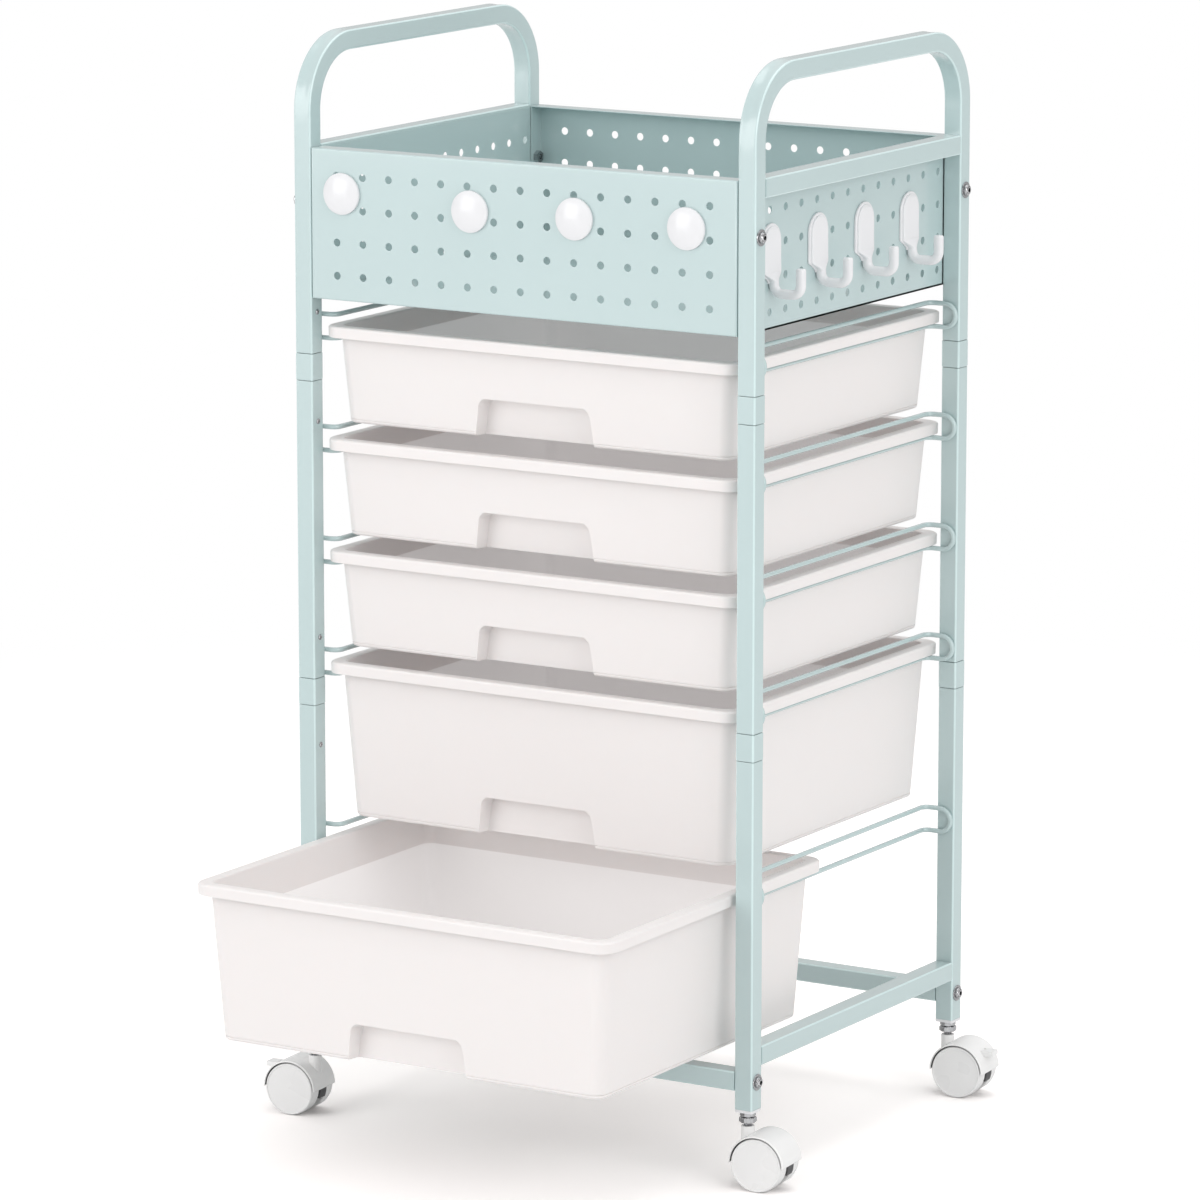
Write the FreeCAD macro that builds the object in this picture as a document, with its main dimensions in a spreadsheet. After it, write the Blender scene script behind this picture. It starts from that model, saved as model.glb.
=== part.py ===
import FreeCAD, Part
import os
import Sketcher
from math import pi
from FreeCAD import Vector

# Rolling storage cart: a frame of square tube with a perforated basket on top, three shallow
# and two deep drawers that hang on wire runners, and four twin-wheel casters.
# The origin is on the floor under the middle of the frame. X points right, -Y to the front, Z up.

doc = FreeCAD.newDocument("storage_cart")
sheet = doc.addObject("Spreadsheet::Sheet", "Sizes")

sizes = {
    # Frame
    "TubeSize": 19.0,
    "TubeWall": 1.2,
    "TubeCorner": 2.0,
    "FrameWidth": 508.4,
    "FrameDepth": 411.4,
    "HandleHeight": 1057.0,
    "BendRadius": 62.5,
    "PostBottom": 74.6,
    "CrossBarBottom": 91.9,
    "CrossBarCap": 3.0,
    "BaseRailBottom": 115.2,
    "TopRailDrop": 103.8,
    # Connectors between the lengths of a post
    "LowerCollarBottom": 409.4,
    "UpperCollarDrop": 80.4,
    "CollarHeight": 25.9,
    "CollarProud": 0.3,
    "SeamGap": 0.4,
    "InsertReach": 62.0,
    "InsertWall": 2.6,
    "InsertClearance": 0.15,
    "ScrewReach": 53.0,
    "ScrewDiameter": 3.0,
    "ScrewHeadDiameter": 5.4,
    "ScrewHeadHeight": 1.4,
    "ScrewHeadRound": 1.0,
    "ScrewLength": 6.0,
    "PilotClearance": 0.1,
    # Bolts through the posts
    "BasketBoltDrop": 51.9,
    "BoltDiameter": 6.0,
    "BoltClearance": 0.3,
    "BoltLength": 26.0,
    "WasherDiameter": 15.8,
    "WasherThickness": 1.2,
    "BoltHeadDiameter": 10.8,
    "BoltHeadHeight": 3.4,
    "BoltHeadRound": 2.4,
    "HexKeySize": 4.0,
    "HexKeyDepth": 2.2,
    "NutWidth": 11.0,
    "NutHeight": 4.6,
    # Basket
    "SheetThickness": 1.0,
    "PanelTopStep": 2.0,
    "PanelHeight": 144.3,
    "PanelSideGap": 0.8,
    "SidePanelTopStep": 3.0,
    "SidePanelEndGap": 0.5,
    "SideFlange": 12.0,
    "HoleDiameter": 7.5,
    "HolePitch": 29.35,
    "HoleRowPitch": 31.8,
    "FrontColumns": 15,
    "SideColumns": 13,
    "HoleRows": 4,
    "FrontTopMargin": 25.3,
    "SideTopMargin": 33.2,
    "FloorEdgeGap": 0.3,
    "FloorLip": 6.0,
    # Hooks on the right side panel
    "HookCount": 4,
    "HookColumnStep": 3,
    "HookFirstColumn": 1,
    "HookPlateWidth": 36.0,
    "HookPlateHeight": 53.0,
    "HookPlateThickness": 4.0,
    "HookPlateRound": 1.2,
    "HookPlateDrop": 72.0,
    "HookBar": 9.2,
    "HookArmOffset": 28.7,
    "HookDrop": 16.6,
    "HookTipRise": 13.0,
    "HookBendRadius": 8.6,
    "HookNeckRise": 14.0,
    "PegDiameter": 7.0,
    "PegEndGap": 0.4,
    # Magnets on the front panel
    "MagnetDiameter": 40.0,
    "MagnetEdge": 3.0,
    "MagnetDome": 5.0,
    # Drawers
    "RimFrontSetback": 8.6,
    "RimBackSetback": 1.5,
    "RimSideGap": 5.5,
    "RimCorner": 18.0,
    "LipHeight": 11.0,
    "LipThickness": 2.0,
    "LipRound": 1.2,
    "WallInset": 10.5,
    "WallCorner": 12.8,
    "WallStep": 0.3,
    "DrawerWall": 2.0,
    "ShallowDraft": 6.0,
    "DeepDepth": 142.6,
    "DeepDraft": 8.4,
    "BottomFillet": 3.0,
    "TopLipDrop": 38.2,
    "DrawerGap": 25.6,
    "DeepStep": 172.7,
    "LowestLip": 268.4,
    "LowestPull": 228.0,
    "GripTopWidth": 120.0,
    "GripBottomWidth": 130.0,
    "GripHeight": 35.5,
    "GripDepth": 15.0,
    "GripCorner": 8.0,
    "GlideThickness": 2.5,
    # Wire runners
    "WireDiameter": 4.8,
    "WireInset": 12.7,
    "WireHookOut": 5.0,
    "WireSpacing": 23.0,
    "WireBend": 8.0,
    "WirePostGap": 0.3,
    "RunClearance": 0.3,
    # Casters
    "CasterTurn": 4.6,
    "WheelRadius": 26.0,
    "CasterTrail": 18.0,
    "CasterWidth": 43.0,
    "WheelGap": 14.0,
    "WheelRound": 2.0,
    "HubRecess": 1.2,
    "HubRecessRadius": 20.0,
    "HubCapRadius": 9.0,
    "HoodRadius": 28.5,
    "HoodThickness": 2.0,
    "WebThickness": 8.0,
    "WebReach": 17.0,
    "WebDrop": 7.0,
    "SleeveDiameter": 13.0,
    "SleeveTop": 58.5,
    "SleeveBottom": 31.0,
    "StemDiameter": 8.0,
    "StemBottom": 36.0,
    "StemReach": 21.0,
    "StemEndGap": 1.0,
    "AxleDiameter": 6.0,
    "AxleEndGap": 3.0,
    "ShaftClearance": 0.08,
    "PressClearance": 0.02,
    "PlugPlate": 2.8,
    "PlugDepth": 22.0,
    "UpperNutBottom": 67.5,
    "UpperNutTop": 71.8,
    "UpperNutAcross": 13.4,
    "LowerNutBottom": 61.7,
    "LowerNutTop": 67.0,
    "LowerNutAcross": 14.7,
    # Brake levers
    "LeverPivotReach": 13.0,
    "LeverPivotRise": 17.0,
    "LeverPin": 3.0,
    "LeverEar": 4.0,
    "LeverRootDrop": 2.4,
    "LeverTipDrop": 0.4,
    "LeverWidth": 13.2,
    "LeverReach": 33.0,
    "LeverSlotReach": 22.5,
    "LeverSideGap": 0.2,
    "LeverWebGap": 1.0,
    "NotchStart": 8.0,
    "NotchDrop": 10.0,
}
magnet_places = {
    "Magnet1": (-198.9, 41.7),
    "Magnet2": (-54.8, 48.5),
    "Magnet3": (60.3, 47.3),
    "Magnet4": (181.3, 47.6),
}
for magnet, (across, drop) in magnet_places.items():
    sizes[magnet + "Across"] = across
    sizes[magnet + "Drop"] = drop

for row, (alias, number) in enumerate(sizes.items(), start=1):
    sheet.set("A%d" % row, alias)
    sheet.set("B%d" % row, str(number))
    sheet.setAlias("B%d" % row, alias)
doc.recompute()

# Places that several pieces share, as expressions of the sheet's values
POST_X = "(Sizes.FrameWidth - Sizes.TubeSize) / 2"
POST_Y = "(Sizes.FrameDepth - Sizes.TubeSize) / 2"
INNER_X = "(Sizes.FrameWidth / 2 - Sizes.TubeSize)"
INNER_Y = "(Sizes.FrameDepth / 2 - Sizes.TubeSize)"
BORE_SIZE = "(Sizes.TubeSize - 2 * Sizes.TubeWall)"
BORE_CORNER = "(Sizes.TubeCorner - Sizes.TubeWall)"
CROSS_BAR_CENTRE = "(Sizes.CrossBarBottom + Sizes.TubeSize / 2)"
# The basket's levels are measured down from the handles' top
TOP_RAIL_TOP = "(Sizes.HandleHeight - Sizes.TopRailDrop)"
PANEL_TOP = "(%s - Sizes.PanelTopStep)" % TOP_RAIL_TOP
PANEL_BOTTOM = "(%s - Sizes.PanelHeight)" % PANEL_TOP
BASKET_BOLT_HEIGHT = "(%s - Sizes.BasketBoltDrop)" % PANEL_TOP
HOOK_PLATE_CENTRE = "(%s - Sizes.HookPlateDrop)" % PANEL_TOP
FRONT_TOP_ROW = "(%s - Sizes.FrontTopMargin)" % PANEL_TOP
SIDE_TOP_ROW = "(%s - Sizes.SideTopMargin)" % PANEL_TOP
UPPER_COLLAR_BOTTOM = "(%s - Sizes.UpperCollarDrop)" % PANEL_BOTTOM
LOWER_COLLAR_TOP = "(Sizes.LowerCollarBottom + Sizes.CollarHeight)"
UPPER_COLLAR_TOP = "(%s + Sizes.CollarHeight)" % UPPER_COLLAR_BOTTOM
LOWER_JOINT = "(Sizes.LowerCollarBottom + Sizes.CollarHeight / 2)"
UPPER_JOINT = "(%s + Sizes.CollarHeight / 2)" % UPPER_COLLAR_BOTTOM
SIDES = {"left": -1, "right": 1}
ENDS = {"front": -1, "rear": 1}

# How close, in mm, an edge must be to the place it is looked for
NEAR = 0.1
# How many times longer an edge must be along one axis than along the others to count as along it
LONG = 3
# The corner radius, as a share of the width, that rounds a plate's end with hardly any flat left
END_ROUNDING = 0.499

nodes = []


def value(expression):
    """The number that an expression of the sheet's values gives."""
    return float(sheet.evalExpression(expression))


def bind(item, **expressions):
    """Ties properties of an object to expressions. A double underscore stands for a dot."""
    for name, expression in expressions.items():
        item.setExpression(name.replace("__", "."), expression)
    return item


def keep(item, node):
    """Names an object as a finished piece of the cart."""
    item.Label = node
    nodes.append(item)
    return item


# Sketches and solid features

def new_body(name):
    body = doc.addObject("PartDesign::Body", name)
    body.AllowCompound = True
    return body


def origin_plane(body, role):
    return [item for item in body.Origin.OriginFeatures if item.Role == role][0]


def new_sketch(body, role, x="0", y="0", z="0"):
    """A sketch on a body's origin plane, moved by x and y in the plane and by z along its normal."""
    sketch = body.newObject("Sketcher::SketchObject", body.Name + "_sketch")
    sketch.AttachmentSupport = (origin_plane(body, role), [""])
    sketch.MapMode = "FlatFace"
    bind(sketch, AttachmentOffset__Base__x=x, AttachmentOffset__Base__y=y, AttachmentOffset__Base__z=z)
    return sketch


def dimension(sketch, name, expression, *constraint):
    """Adds a constraint whose value follows an expression."""
    index = sketch.addConstraint(Sketcher.Constraint(*constraint, value(expression)))
    name = "%s%d" % (name, index)
    sketch.renameConstraint(index, name)
    sketch.setExpression("Constraints." + name, expression)


def add_rectangle(sketch, width, height, corner=None):
    """A rectangle round the sketch's origin, with round corners if a corner radius is given."""
    half_w = value(width) / 2
    half_h = value(height) / 2
    radius = value(corner) if corner else 0
    first = sketch.GeometryCount
    line = [
        (Vector(-half_w + radius, -half_h, 0), Vector(half_w - radius, -half_h, 0)),
        (Vector(half_w, -half_h + radius, 0), Vector(half_w, half_h - radius, 0)),
        (Vector(half_w - radius, half_h, 0), Vector(-half_w + radius, half_h, 0)),
        (Vector(-half_w, half_h - radius, 0), Vector(-half_w, -half_h + radius, 0)),
    ]
    for start, end in line:
        sketch.addGeometry(Part.LineSegment(start, end), False)
    for index, direction in enumerate(["Horizontal", "Vertical", "Horizontal", "Vertical"]):
        sketch.addConstraint(Sketcher.Constraint(direction, first + index))
    if corner:
        centre = [
            (half_w - radius, -half_h + radius, 1.5 * pi, 2 * pi),
            (half_w - radius, half_h - radius, 0, 0.5 * pi),
            (-half_w + radius, half_h - radius, 0.5 * pi, pi),
            (-half_w + radius, -half_h + radius, pi, 1.5 * pi),
        ]
        for index, (x, y, start, end) in enumerate(centre):
            circle = Part.Circle(Vector(x, y, 0), Vector(0, 0, 1), radius)
            arc = sketch.addGeometry(Part.ArcOfCircle(circle, start, end), False)
            following = first + (index + 1) % 4
            sketch.addConstraint(Sketcher.Constraint("Tangent", first + index, 2, arc, 1))
            sketch.addConstraint(Sketcher.Constraint("Tangent", arc, 2, following, 1))
            if index > 0:
                sketch.addConstraint(Sketcher.Constraint("Equal", first + 4, arc))
        dimension(sketch, "Corner", corner, "Radius", first + 4)
        sketch.addConstraint(Sketcher.Constraint("Symmetric", first + 4, 3, first + 6, 3, -1, 1))
    else:
        for index in range(4):
            following = first + (index + 1) % 4
            sketch.addConstraint(Sketcher.Constraint("Coincident", first + index, 2, following, 1))
        sketch.addConstraint(Sketcher.Constraint("Symmetric", first, 1, first + 2, 1, -1, 1))
    dimension(sketch, "Width", width, "DistanceX", first + 3, 1, first + 1, 1)
    dimension(sketch, "Height", height, "DistanceY", first, 1, first + 2, 1)


def add_circle(sketch, diameter):
    """A circle round the sketch's origin."""
    circle = Part.Circle(Vector(0, 0, 0), Vector(0, 0, 1), value(diameter) / 2)
    index = sketch.addGeometry(circle, False)
    sketch.addConstraint(Sketcher.Constraint("Coincident", index, 3, -1, 1))
    dimension(sketch, "Diameter", diameter, "Diameter", index)


def add_outline(sketch, corners):
    """A closed outline of straight lines through corners, each a pair of expressions."""
    first = sketch.GeometryCount
    points = [Vector(value(x), value(y), 0) for x, y in corners]
    for index, point in enumerate(points):
        following = points[(index + 1) % len(points)]
        sketch.addGeometry(Part.LineSegment(point, following), False)
    for index, (x, y) in enumerate(corners):
        following = first + (index + 1) % len(corners)
        sketch.addConstraint(Sketcher.Constraint("Coincident", first + index, 2, following, 1))
        dimension(sketch, "X", x, "DistanceX", -1, 1, first + index, 1)
        dimension(sketch, "Y", y, "DistanceY", -1, 1, first + index, 1)


def pad(body, sketch, length, midplane=False, reverse=False):
    feature = body.newObject("PartDesign::Pad", body.Name + "_pad")
    feature.Profile = sketch
    feature.Midplane = midplane
    feature.Reversed = reverse
    return bind(feature, Length=length)


def pocket(body, sketch, length, midplane=False, reverse=False):
    """Cuts a sketch out of the body, against the sketch's normal unless it is reversed."""
    feature = body.newObject("PartDesign::Pocket", body.Name + "_pocket")
    feature.Profile = sketch
    feature.Midplane = midplane
    feature.Reversed = reverse
    return bind(feature, Length=length)


def revolve(body, sketch, angle="360", reverse=False):
    """Turns a sketch round its own vertical axis."""
    feature = body.newObject("PartDesign::Revolution", body.Name + "_revolution")
    feature.Profile = sketch
    feature.ReferenceAxis = (sketch, ["V_Axis"])
    feature.Reversed = reverse
    return bind(feature, Angle=angle)


def bore(body, role, place, diameter, length):
    """A round hole, centred along its length on the place given in the plane's own axes."""
    sketch = new_sketch(body, role, *place)
    add_circle(sketch, diameter)
    return pocket(body, sketch, length, midplane=True)


def fillet(body, base, radius, choose):
    """Rounds the edges of a feature that the choose function accepts."""
    doc.recompute()
    names = ["Edge%d" % number for number, edge in enumerate(base.Shape.Edges, start=1) if choose(edge)]
    feature = body.newObject("PartDesign::Fillet", body.Name + "_fillet")
    feature.Base = (base, names)
    return bind(feature, Radius=radius)


def mirror(source, normal):
    """A mirrored copy of a whole object, about a plane through the origin."""
    copy = doc.addObject("Part::Mirroring", source.Name + "_mirrored")
    copy.Source = source
    copy.Normal = normal
    return copy


def group(name, items):
    compound = doc.addObject("Part::Compound", name)
    compound.Links = items
    return compound


def four_corners(node, source):
    """One node that holds a piece and its mirror images at all four posts."""
    pair = group(node + "_pair", [source, mirror(source, Vector(1, 0, 0))])
    return keep(group(node, [pair, mirror(pair, Vector(0, 1, 0))]), node)


# Frame tubes

def add_tube_section(sketch):
    add_rectangle(sketch, "Sizes.TubeSize", "Sizes.TubeSize", "Sizes.TubeCorner")
    add_rectangle(sketch, BORE_SIZE, BORE_SIZE, BORE_CORNER)


def screw_hole(body, side, end, height, centre, diameter):
    """A hole through the wall of a post that faces the other side of the cart."""
    place = ("%d * %s" % (end, POST_Y), height, "%d * %s" % (side, centre))
    bore(body, "YZ_Plane", place, diameter, "4 * Sizes.TubeWall")


def bolt_hole(body, side, end, height):
    """A hole straight through a post, from its outer face to its inner face."""
    place = ("%d * %s" % (end, POST_Y), height, "%d * %s" % (side, POST_X))
    bore(body, "YZ_Plane", place, "Sizes.BoltDiameter + 2 * Sizes.BoltClearance", "2 * Sizes.TubeSize")


SCREW_HOLE = "Sizes.ScrewDiameter + 4 * Sizes.PilotClearance"


def build_post(node, side, end, bottom, top, screw_heights, bolt_heights):
    body = new_body(node)
    section = new_sketch(body, "XY_Plane", "%d * %s" % (side, POST_X), "%d * %s" % (end, POST_Y), bottom)
    add_tube_section(section)
    pad(body, section, "%s - %s" % (top, bottom))
    for height in screw_heights:
        screw_hole(body, side, end, height, INNER_X, SCREW_HOLE)
    for height in bolt_heights:
        bolt_hole(body, side, end, height)
    keep(body, node)


def build_posts():
    for side_name, side in SIDES.items():
        for end_name, end in ENDS.items():
            place = "%s_%s" % (end_name, side_name)
            build_post(place + "_middle_post", side, end,
                       "(%s + Sizes.SeamGap)" % LOWER_COLLAR_TOP,
                       "(%s - Sizes.SeamGap)" % UPPER_COLLAR_BOTTOM,
                       ["%s + Sizes.ScrewReach" % LOWER_JOINT, "%s - Sizes.ScrewReach" % UPPER_JOINT], [])
            build_post(place + "_lower_post", side, end, "Sizes.PostBottom",
                       "(Sizes.LowerCollarBottom - Sizes.SeamGap)",
                       ["%s - Sizes.ScrewReach" % LOWER_JOINT], [CROSS_BAR_CENTRE])


def handle_path(body, side):
    """The middle line of a handle frame: up one leg, over the top and down the other leg."""
    path = new_sketch(body, "YZ_Plane", z="%d * %s" % (side, POST_X))
    foot = value("%s + Sizes.SeamGap" % UPPER_COLLAR_TOP)
    reach = value(POST_Y)
    top = value("Sizes.HandleHeight - Sizes.TubeSize / 2")
    radius = value("Sizes.BendRadius")
    points = [
        (Vector(-reach, foot, 0), Vector(-reach, top - radius, 0)),
        (Vector(-reach + radius, top, 0), Vector(reach - radius, top, 0)),
        (Vector(reach, top - radius, 0), Vector(reach, foot, 0)),
    ]
    for start, end in points:
        path.addGeometry(Part.LineSegment(start, end), False)
    for sign, start_angle in ((-1, 0.5 * pi), (1, 0)):
        centre = Vector(sign * (reach - radius), top - radius, 0)
        circle = Part.Circle(centre, Vector(0, 0, 1), radius)
        path.addGeometry(Part.ArcOfCircle(circle, start_angle, start_angle + 0.5 * pi), False)
    for first, first_end, second, second_end in ((0, 2, 3, 2), (3, 1, 1, 1), (1, 2, 4, 2), (4, 1, 2, 1)):
        path.addConstraint(Sketcher.Constraint("Tangent", first, first_end, second, second_end))
    path.addConstraint(Sketcher.Constraint("Vertical", 0))
    path.addConstraint(Sketcher.Constraint("Horizontal", 1))
    path.addConstraint(Sketcher.Constraint("Vertical", 2))
    path.addConstraint(Sketcher.Constraint("Equal", 3, 4))
    path.addConstraint(Sketcher.Constraint("Symmetric", 0, 1, 2, 2, -2))
    dimension(path, "Bend", "Sizes.BendRadius", "Radius", 3)
    dimension(path, "Reach", POST_Y, "DistanceX", -1, 1, 2, 2)
    dimension(path, "Foot", "%s + Sizes.SeamGap" % UPPER_COLLAR_TOP, "DistanceY", -1, 1, 0, 1)
    dimension(path, "Top", "Sizes.HandleHeight - Sizes.TubeSize / 2", "DistanceY", -1, 1, 1, 1)
    return path


def build_handle_frames():
    for side_name, side in SIDES.items():
        node = side_name + "_handle_frame"
        body = new_body(node)
        path = handle_path(body, side)
        section = new_sketch(body, "XY_Plane", "%d * %s" % (side, POST_X), "-" + POST_Y,
                             "%s + Sizes.SeamGap" % UPPER_COLLAR_TOP)
        add_tube_section(section)
        tube = body.newObject("PartDesign::AdditivePipe", node + "_tube")
        tube.Profile = section
        tube.Spine = (path, [""])
        for end in ENDS.values():
            screw_hole(body, side, end, "%s + Sizes.ScrewReach" % UPPER_JOINT, INNER_X, SCREW_HOLE)
            bolt_hole(body, side, end, BASKET_BOLT_HEIGHT)
        keep(body, node)


def build_rails():
    """Tubes that run from front to back between the posts, flush with the posts' outer faces."""
    heights = {
        "top_rail": "%s - Sizes.TubeSize / 2" % TOP_RAIL_TOP,
        "base_rail": "Sizes.BaseRailBottom + Sizes.TubeSize / 2",
    }
    for side_name, side in SIDES.items():
        for name, height in heights.items():
            node = "%s_%s" % (side_name, name)
            body = new_body(node)
            section = new_sketch(body, "XZ_Plane", "%d * %s" % (side, POST_X), height)
            add_tube_section(section)
            pad(body, section, "2 * " + INNER_Y, midplane=True)
            keep(body, node)


def build_cross_bars():
    """Tubes between the lower posts at the front and the back, with a threaded cap in each end."""
    for end_name, end in ENDS.items():
        node = end_name + "_cross_bar"
        body = new_body(node)
        section = new_sketch(body, "YZ_Plane", "%d * %s" % (end, POST_Y), CROSS_BAR_CENTRE)
        add_tube_section(section)
        pad(body, section, "2 * " + INNER_X, midplane=True)
        for side in SIDES.values():
            cap = new_sketch(body, "YZ_Plane", "%d * %s" % (end, POST_Y), CROSS_BAR_CENTRE,
                             "%d * %s" % (side, INNER_X))
            add_rectangle(cap, "Sizes.TubeSize - Sizes.TubeWall", "Sizes.TubeSize - Sizes.TubeWall",
                          "Sizes.TubeCorner")
            pad(body, cap, "Sizes.CrossBarCap", reverse=side > 0)
        place = ("%d * %s" % (end, POST_Y), CROSS_BAR_CENTRE, "0")
        bore(body, "YZ_Plane", place, "Sizes.BoltDiameter + 2 * Sizes.PressClearance", "Sizes.FrameWidth")
        keep(body, node)


# Connectors, screws and bolts. Each is built at the front left post and mirrored to the others.

def build_connectors(node, joint, collar_bottom):
    """Inner sleeves that join two lengths of post, with a collar that shows between them."""
    body = new_body(node + "_front_left")
    x = "-" + POST_X
    y = "-" + POST_Y
    sleeve_size = "%s - 2 * Sizes.InsertClearance" % BORE_SIZE
    hollow_size = "%s - 2 * Sizes.InsertClearance - 2 * Sizes.InsertWall" % BORE_SIZE
    sleeve = new_sketch(body, "XY_Plane", x, y, "%s - Sizes.InsertReach" % joint)
    add_rectangle(sleeve, sleeve_size, sleeve_size)
    pad(body, sleeve, "2 * Sizes.InsertReach")
    collar_size = "Sizes.TubeSize + 2 * Sizes.CollarProud"
    collar = new_sketch(body, "XY_Plane", x, y, collar_bottom)
    add_rectangle(collar, collar_size, collar_size, "Sizes.TubeCorner + Sizes.CollarProud")
    pad(body, collar, "Sizes.CollarHeight")
    hollow = new_sketch(body, "XY_Plane", x, y, joint)
    add_rectangle(hollow, hollow_size, hollow_size)
    pocket(body, hollow, "3 * Sizes.InsertReach", midplane=True)
    pilot = "Sizes.ScrewDiameter + 2 * Sizes.PilotClearance"
    pilot_centre = "(%s + Sizes.TubeWall + Sizes.InsertClearance + Sizes.InsertWall / 2)" % INNER_X
    for sign in (-1, 1):
        screw_hole(body, -1, -1, "%s + %d * Sizes.ScrewReach" % (joint, sign), pilot_centre, pilot)
    four_corners(node, body)


def build_connector_screws():
    """Small domed screws in the posts' inner faces, above and below each joint."""
    heights = [
        "%s - Sizes.ScrewReach" % LOWER_JOINT,
        "%s + Sizes.ScrewReach" % LOWER_JOINT,
        "%s - Sizes.ScrewReach" % UPPER_JOINT,
        "%s + Sizes.ScrewReach" % UPPER_JOINT,
    ]
    screws = []
    for number, height in enumerate(heights, start=1):
        body = new_body("connector_screw_%d" % number)
        face = "-" + INNER_X
        head = new_sketch(body, "YZ_Plane", "-" + POST_Y, height, face)
        add_circle(head, "Sizes.ScrewHeadDiameter")
        head_pad = pad(body, head, "Sizes.ScrewHeadHeight")
        fillet(body, head_pad, "Sizes.ScrewHeadRound",
               lambda edge: edge.CenterOfMass.x > value(face) + NEAR)
        shank = new_sketch(body, "YZ_Plane", "-" + POST_Y, height, face)
        add_circle(shank, "Sizes.ScrewDiameter")
        pad(body, shank, "Sizes.ScrewLength", reverse=True)
        screws.append(body)
    four_corners("connector_screws", group("connector_screws_front_left", screws))


BOLT_HEIGHTS = {"basket": BASKET_BOLT_HEIGHT, "base": CROSS_BAR_CENTRE}


def build_frame_bolts():
    """Button-head bolts in the posts' outer faces, with a hex socket."""
    bolts = []
    seat = "(-Sizes.FrameWidth / 2 - Sizes.WasherThickness)"
    for name, height in BOLT_HEIGHTS.items():
        body = new_body(name + "_bolt")
        head = new_sketch(body, "YZ_Plane", "-" + POST_Y, height, seat)
        add_circle(head, "Sizes.BoltHeadDiameter")
        head_pad = pad(body, head, "Sizes.BoltHeadHeight", reverse=True)
        fillet(body, head_pad, "Sizes.BoltHeadRound",
               lambda edge: edge.CenterOfMass.x < value(seat) - NEAR)
        shank = new_sketch(body, "YZ_Plane", "-" + POST_Y, height, seat)
        add_circle(shank, "Sizes.BoltDiameter")
        pad(body, shank, "Sizes.BoltLength")
        socket = new_sketch(body, "YZ_Plane", "-" + POST_Y, height, seat + " - Sizes.BoltHeadHeight")
        add_hexagon(socket, "Sizes.HexKeySize")
        pocket(body, socket, "Sizes.HexKeyDepth", reverse=True)
        bolts.append(body)
    four_corners("frame_bolts", group("frame_bolts_front_left", bolts))


def add_hexagon(sketch, across):
    """A regular hexagon round the sketch's origin, by its width across the flats."""
    corner = "(%s) / sqrt(3)" % across
    corners = [
        ("-(%s) / 2" % across, "-%s / 2" % corner),
        ("0", "-" + corner),
        ("(%s) / 2" % across, "-%s / 2" % corner),
        ("(%s) / 2" % across, "%s / 2" % corner),
        ("0", corner),
        ("-(%s) / 2" % across, "%s / 2" % corner),
    ]
    add_outline(sketch, corners)


def build_washers():
    washers = []
    for name, height in BOLT_HEIGHTS.items():
        body = new_body(name + "_washer")
        ring = new_sketch(body, "YZ_Plane", "-" + POST_Y, height, "-Sizes.FrameWidth / 2")
        add_circle(ring, "Sizes.WasherDiameter")
        add_circle(ring, "Sizes.BoltDiameter + 2 * Sizes.BoltClearance")
        pad(body, ring, "Sizes.WasherThickness", reverse=True)
        washers.append(body)
    four_corners("frame_washers", group("frame_washers_front_left", washers))


def build_basket_nuts():
    """Nuts inside the front and back panels' side flanges."""
    body = new_body("basket_nut")
    flange = "(%s - Sizes.PanelSideGap - Sizes.SheetThickness)" % INNER_X
    outline = new_sketch(body, "YZ_Plane", "-" + POST_Y, BASKET_BOLT_HEIGHT, "-" + flange)
    add_hexagon(outline, "Sizes.NutWidth")
    add_circle(outline, "Sizes.BoltDiameter + 2 * Sizes.PressClearance")
    pad(body, outline, "Sizes.NutHeight")
    four_corners("basket_nuts", body)


def build_post_plugs():
    """White plugs in the posts' lower ends, with the thread for the caster stem."""
    body = new_body("post_plug")
    x = "-" + POST_X
    y = "-" + POST_Y
    plate = new_sketch(body, "XY_Plane", x, y, "Sizes.PostBottom")
    add_rectangle(plate, "Sizes.TubeSize", "Sizes.TubeSize", "Sizes.TubeCorner")
    pad(body, plate, "Sizes.PlugPlate", reverse=True)
    shank = new_sketch(body, "XY_Plane", x, y, "Sizes.PostBottom")
    shank_size = "%s - 2 * Sizes.InsertClearance" % BORE_SIZE
    add_rectangle(shank, shank_size, shank_size)
    pad(body, shank, "Sizes.PlugDepth")
    bore(body, "XY_Plane", (x, y, "Sizes.PostBottom"), "Sizes.StemDiameter + 2 * Sizes.PressClearance",
         "3 * Sizes.PlugDepth")
    four_corners("post_plugs", body)


# Basket

def drill_grid(body, role, place, columns):
    """A grid of round holes. The place is the first column's lowest hole, in the plane's axes."""
    start = new_sketch(body, role, *place)
    add_circle(start, "Sizes.HoleDiameter")
    hole = pocket(body, start, "4 * Sizes.SheetThickness", midplane=True)
    grid = body.newObject("PartDesign::LinearPattern", body.Name + "_grid")
    grid.Originals = [hole]
    grid.Direction = (start, ["H_Axis"])
    grid.Direction2 = (start, ["V_Axis"])
    bind(grid, Length="Sizes.HolePitch * (%s - 1)" % columns, Occurrences=columns,
         Length2="Sizes.HoleRowPitch * (Sizes.HoleRows - 1)", Occurrences2="Sizes.HoleRows")
    body.Tip = grid


def first_hole(columns, top_row):
    """The in-plane place of a grid's first column and lowest row."""
    across = "-Sizes.HolePitch * (%s - 1) / 2" % columns
    height = "%s - Sizes.HoleRowPitch * (Sizes.HoleRows - 1)" % top_row
    return across, height


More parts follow.
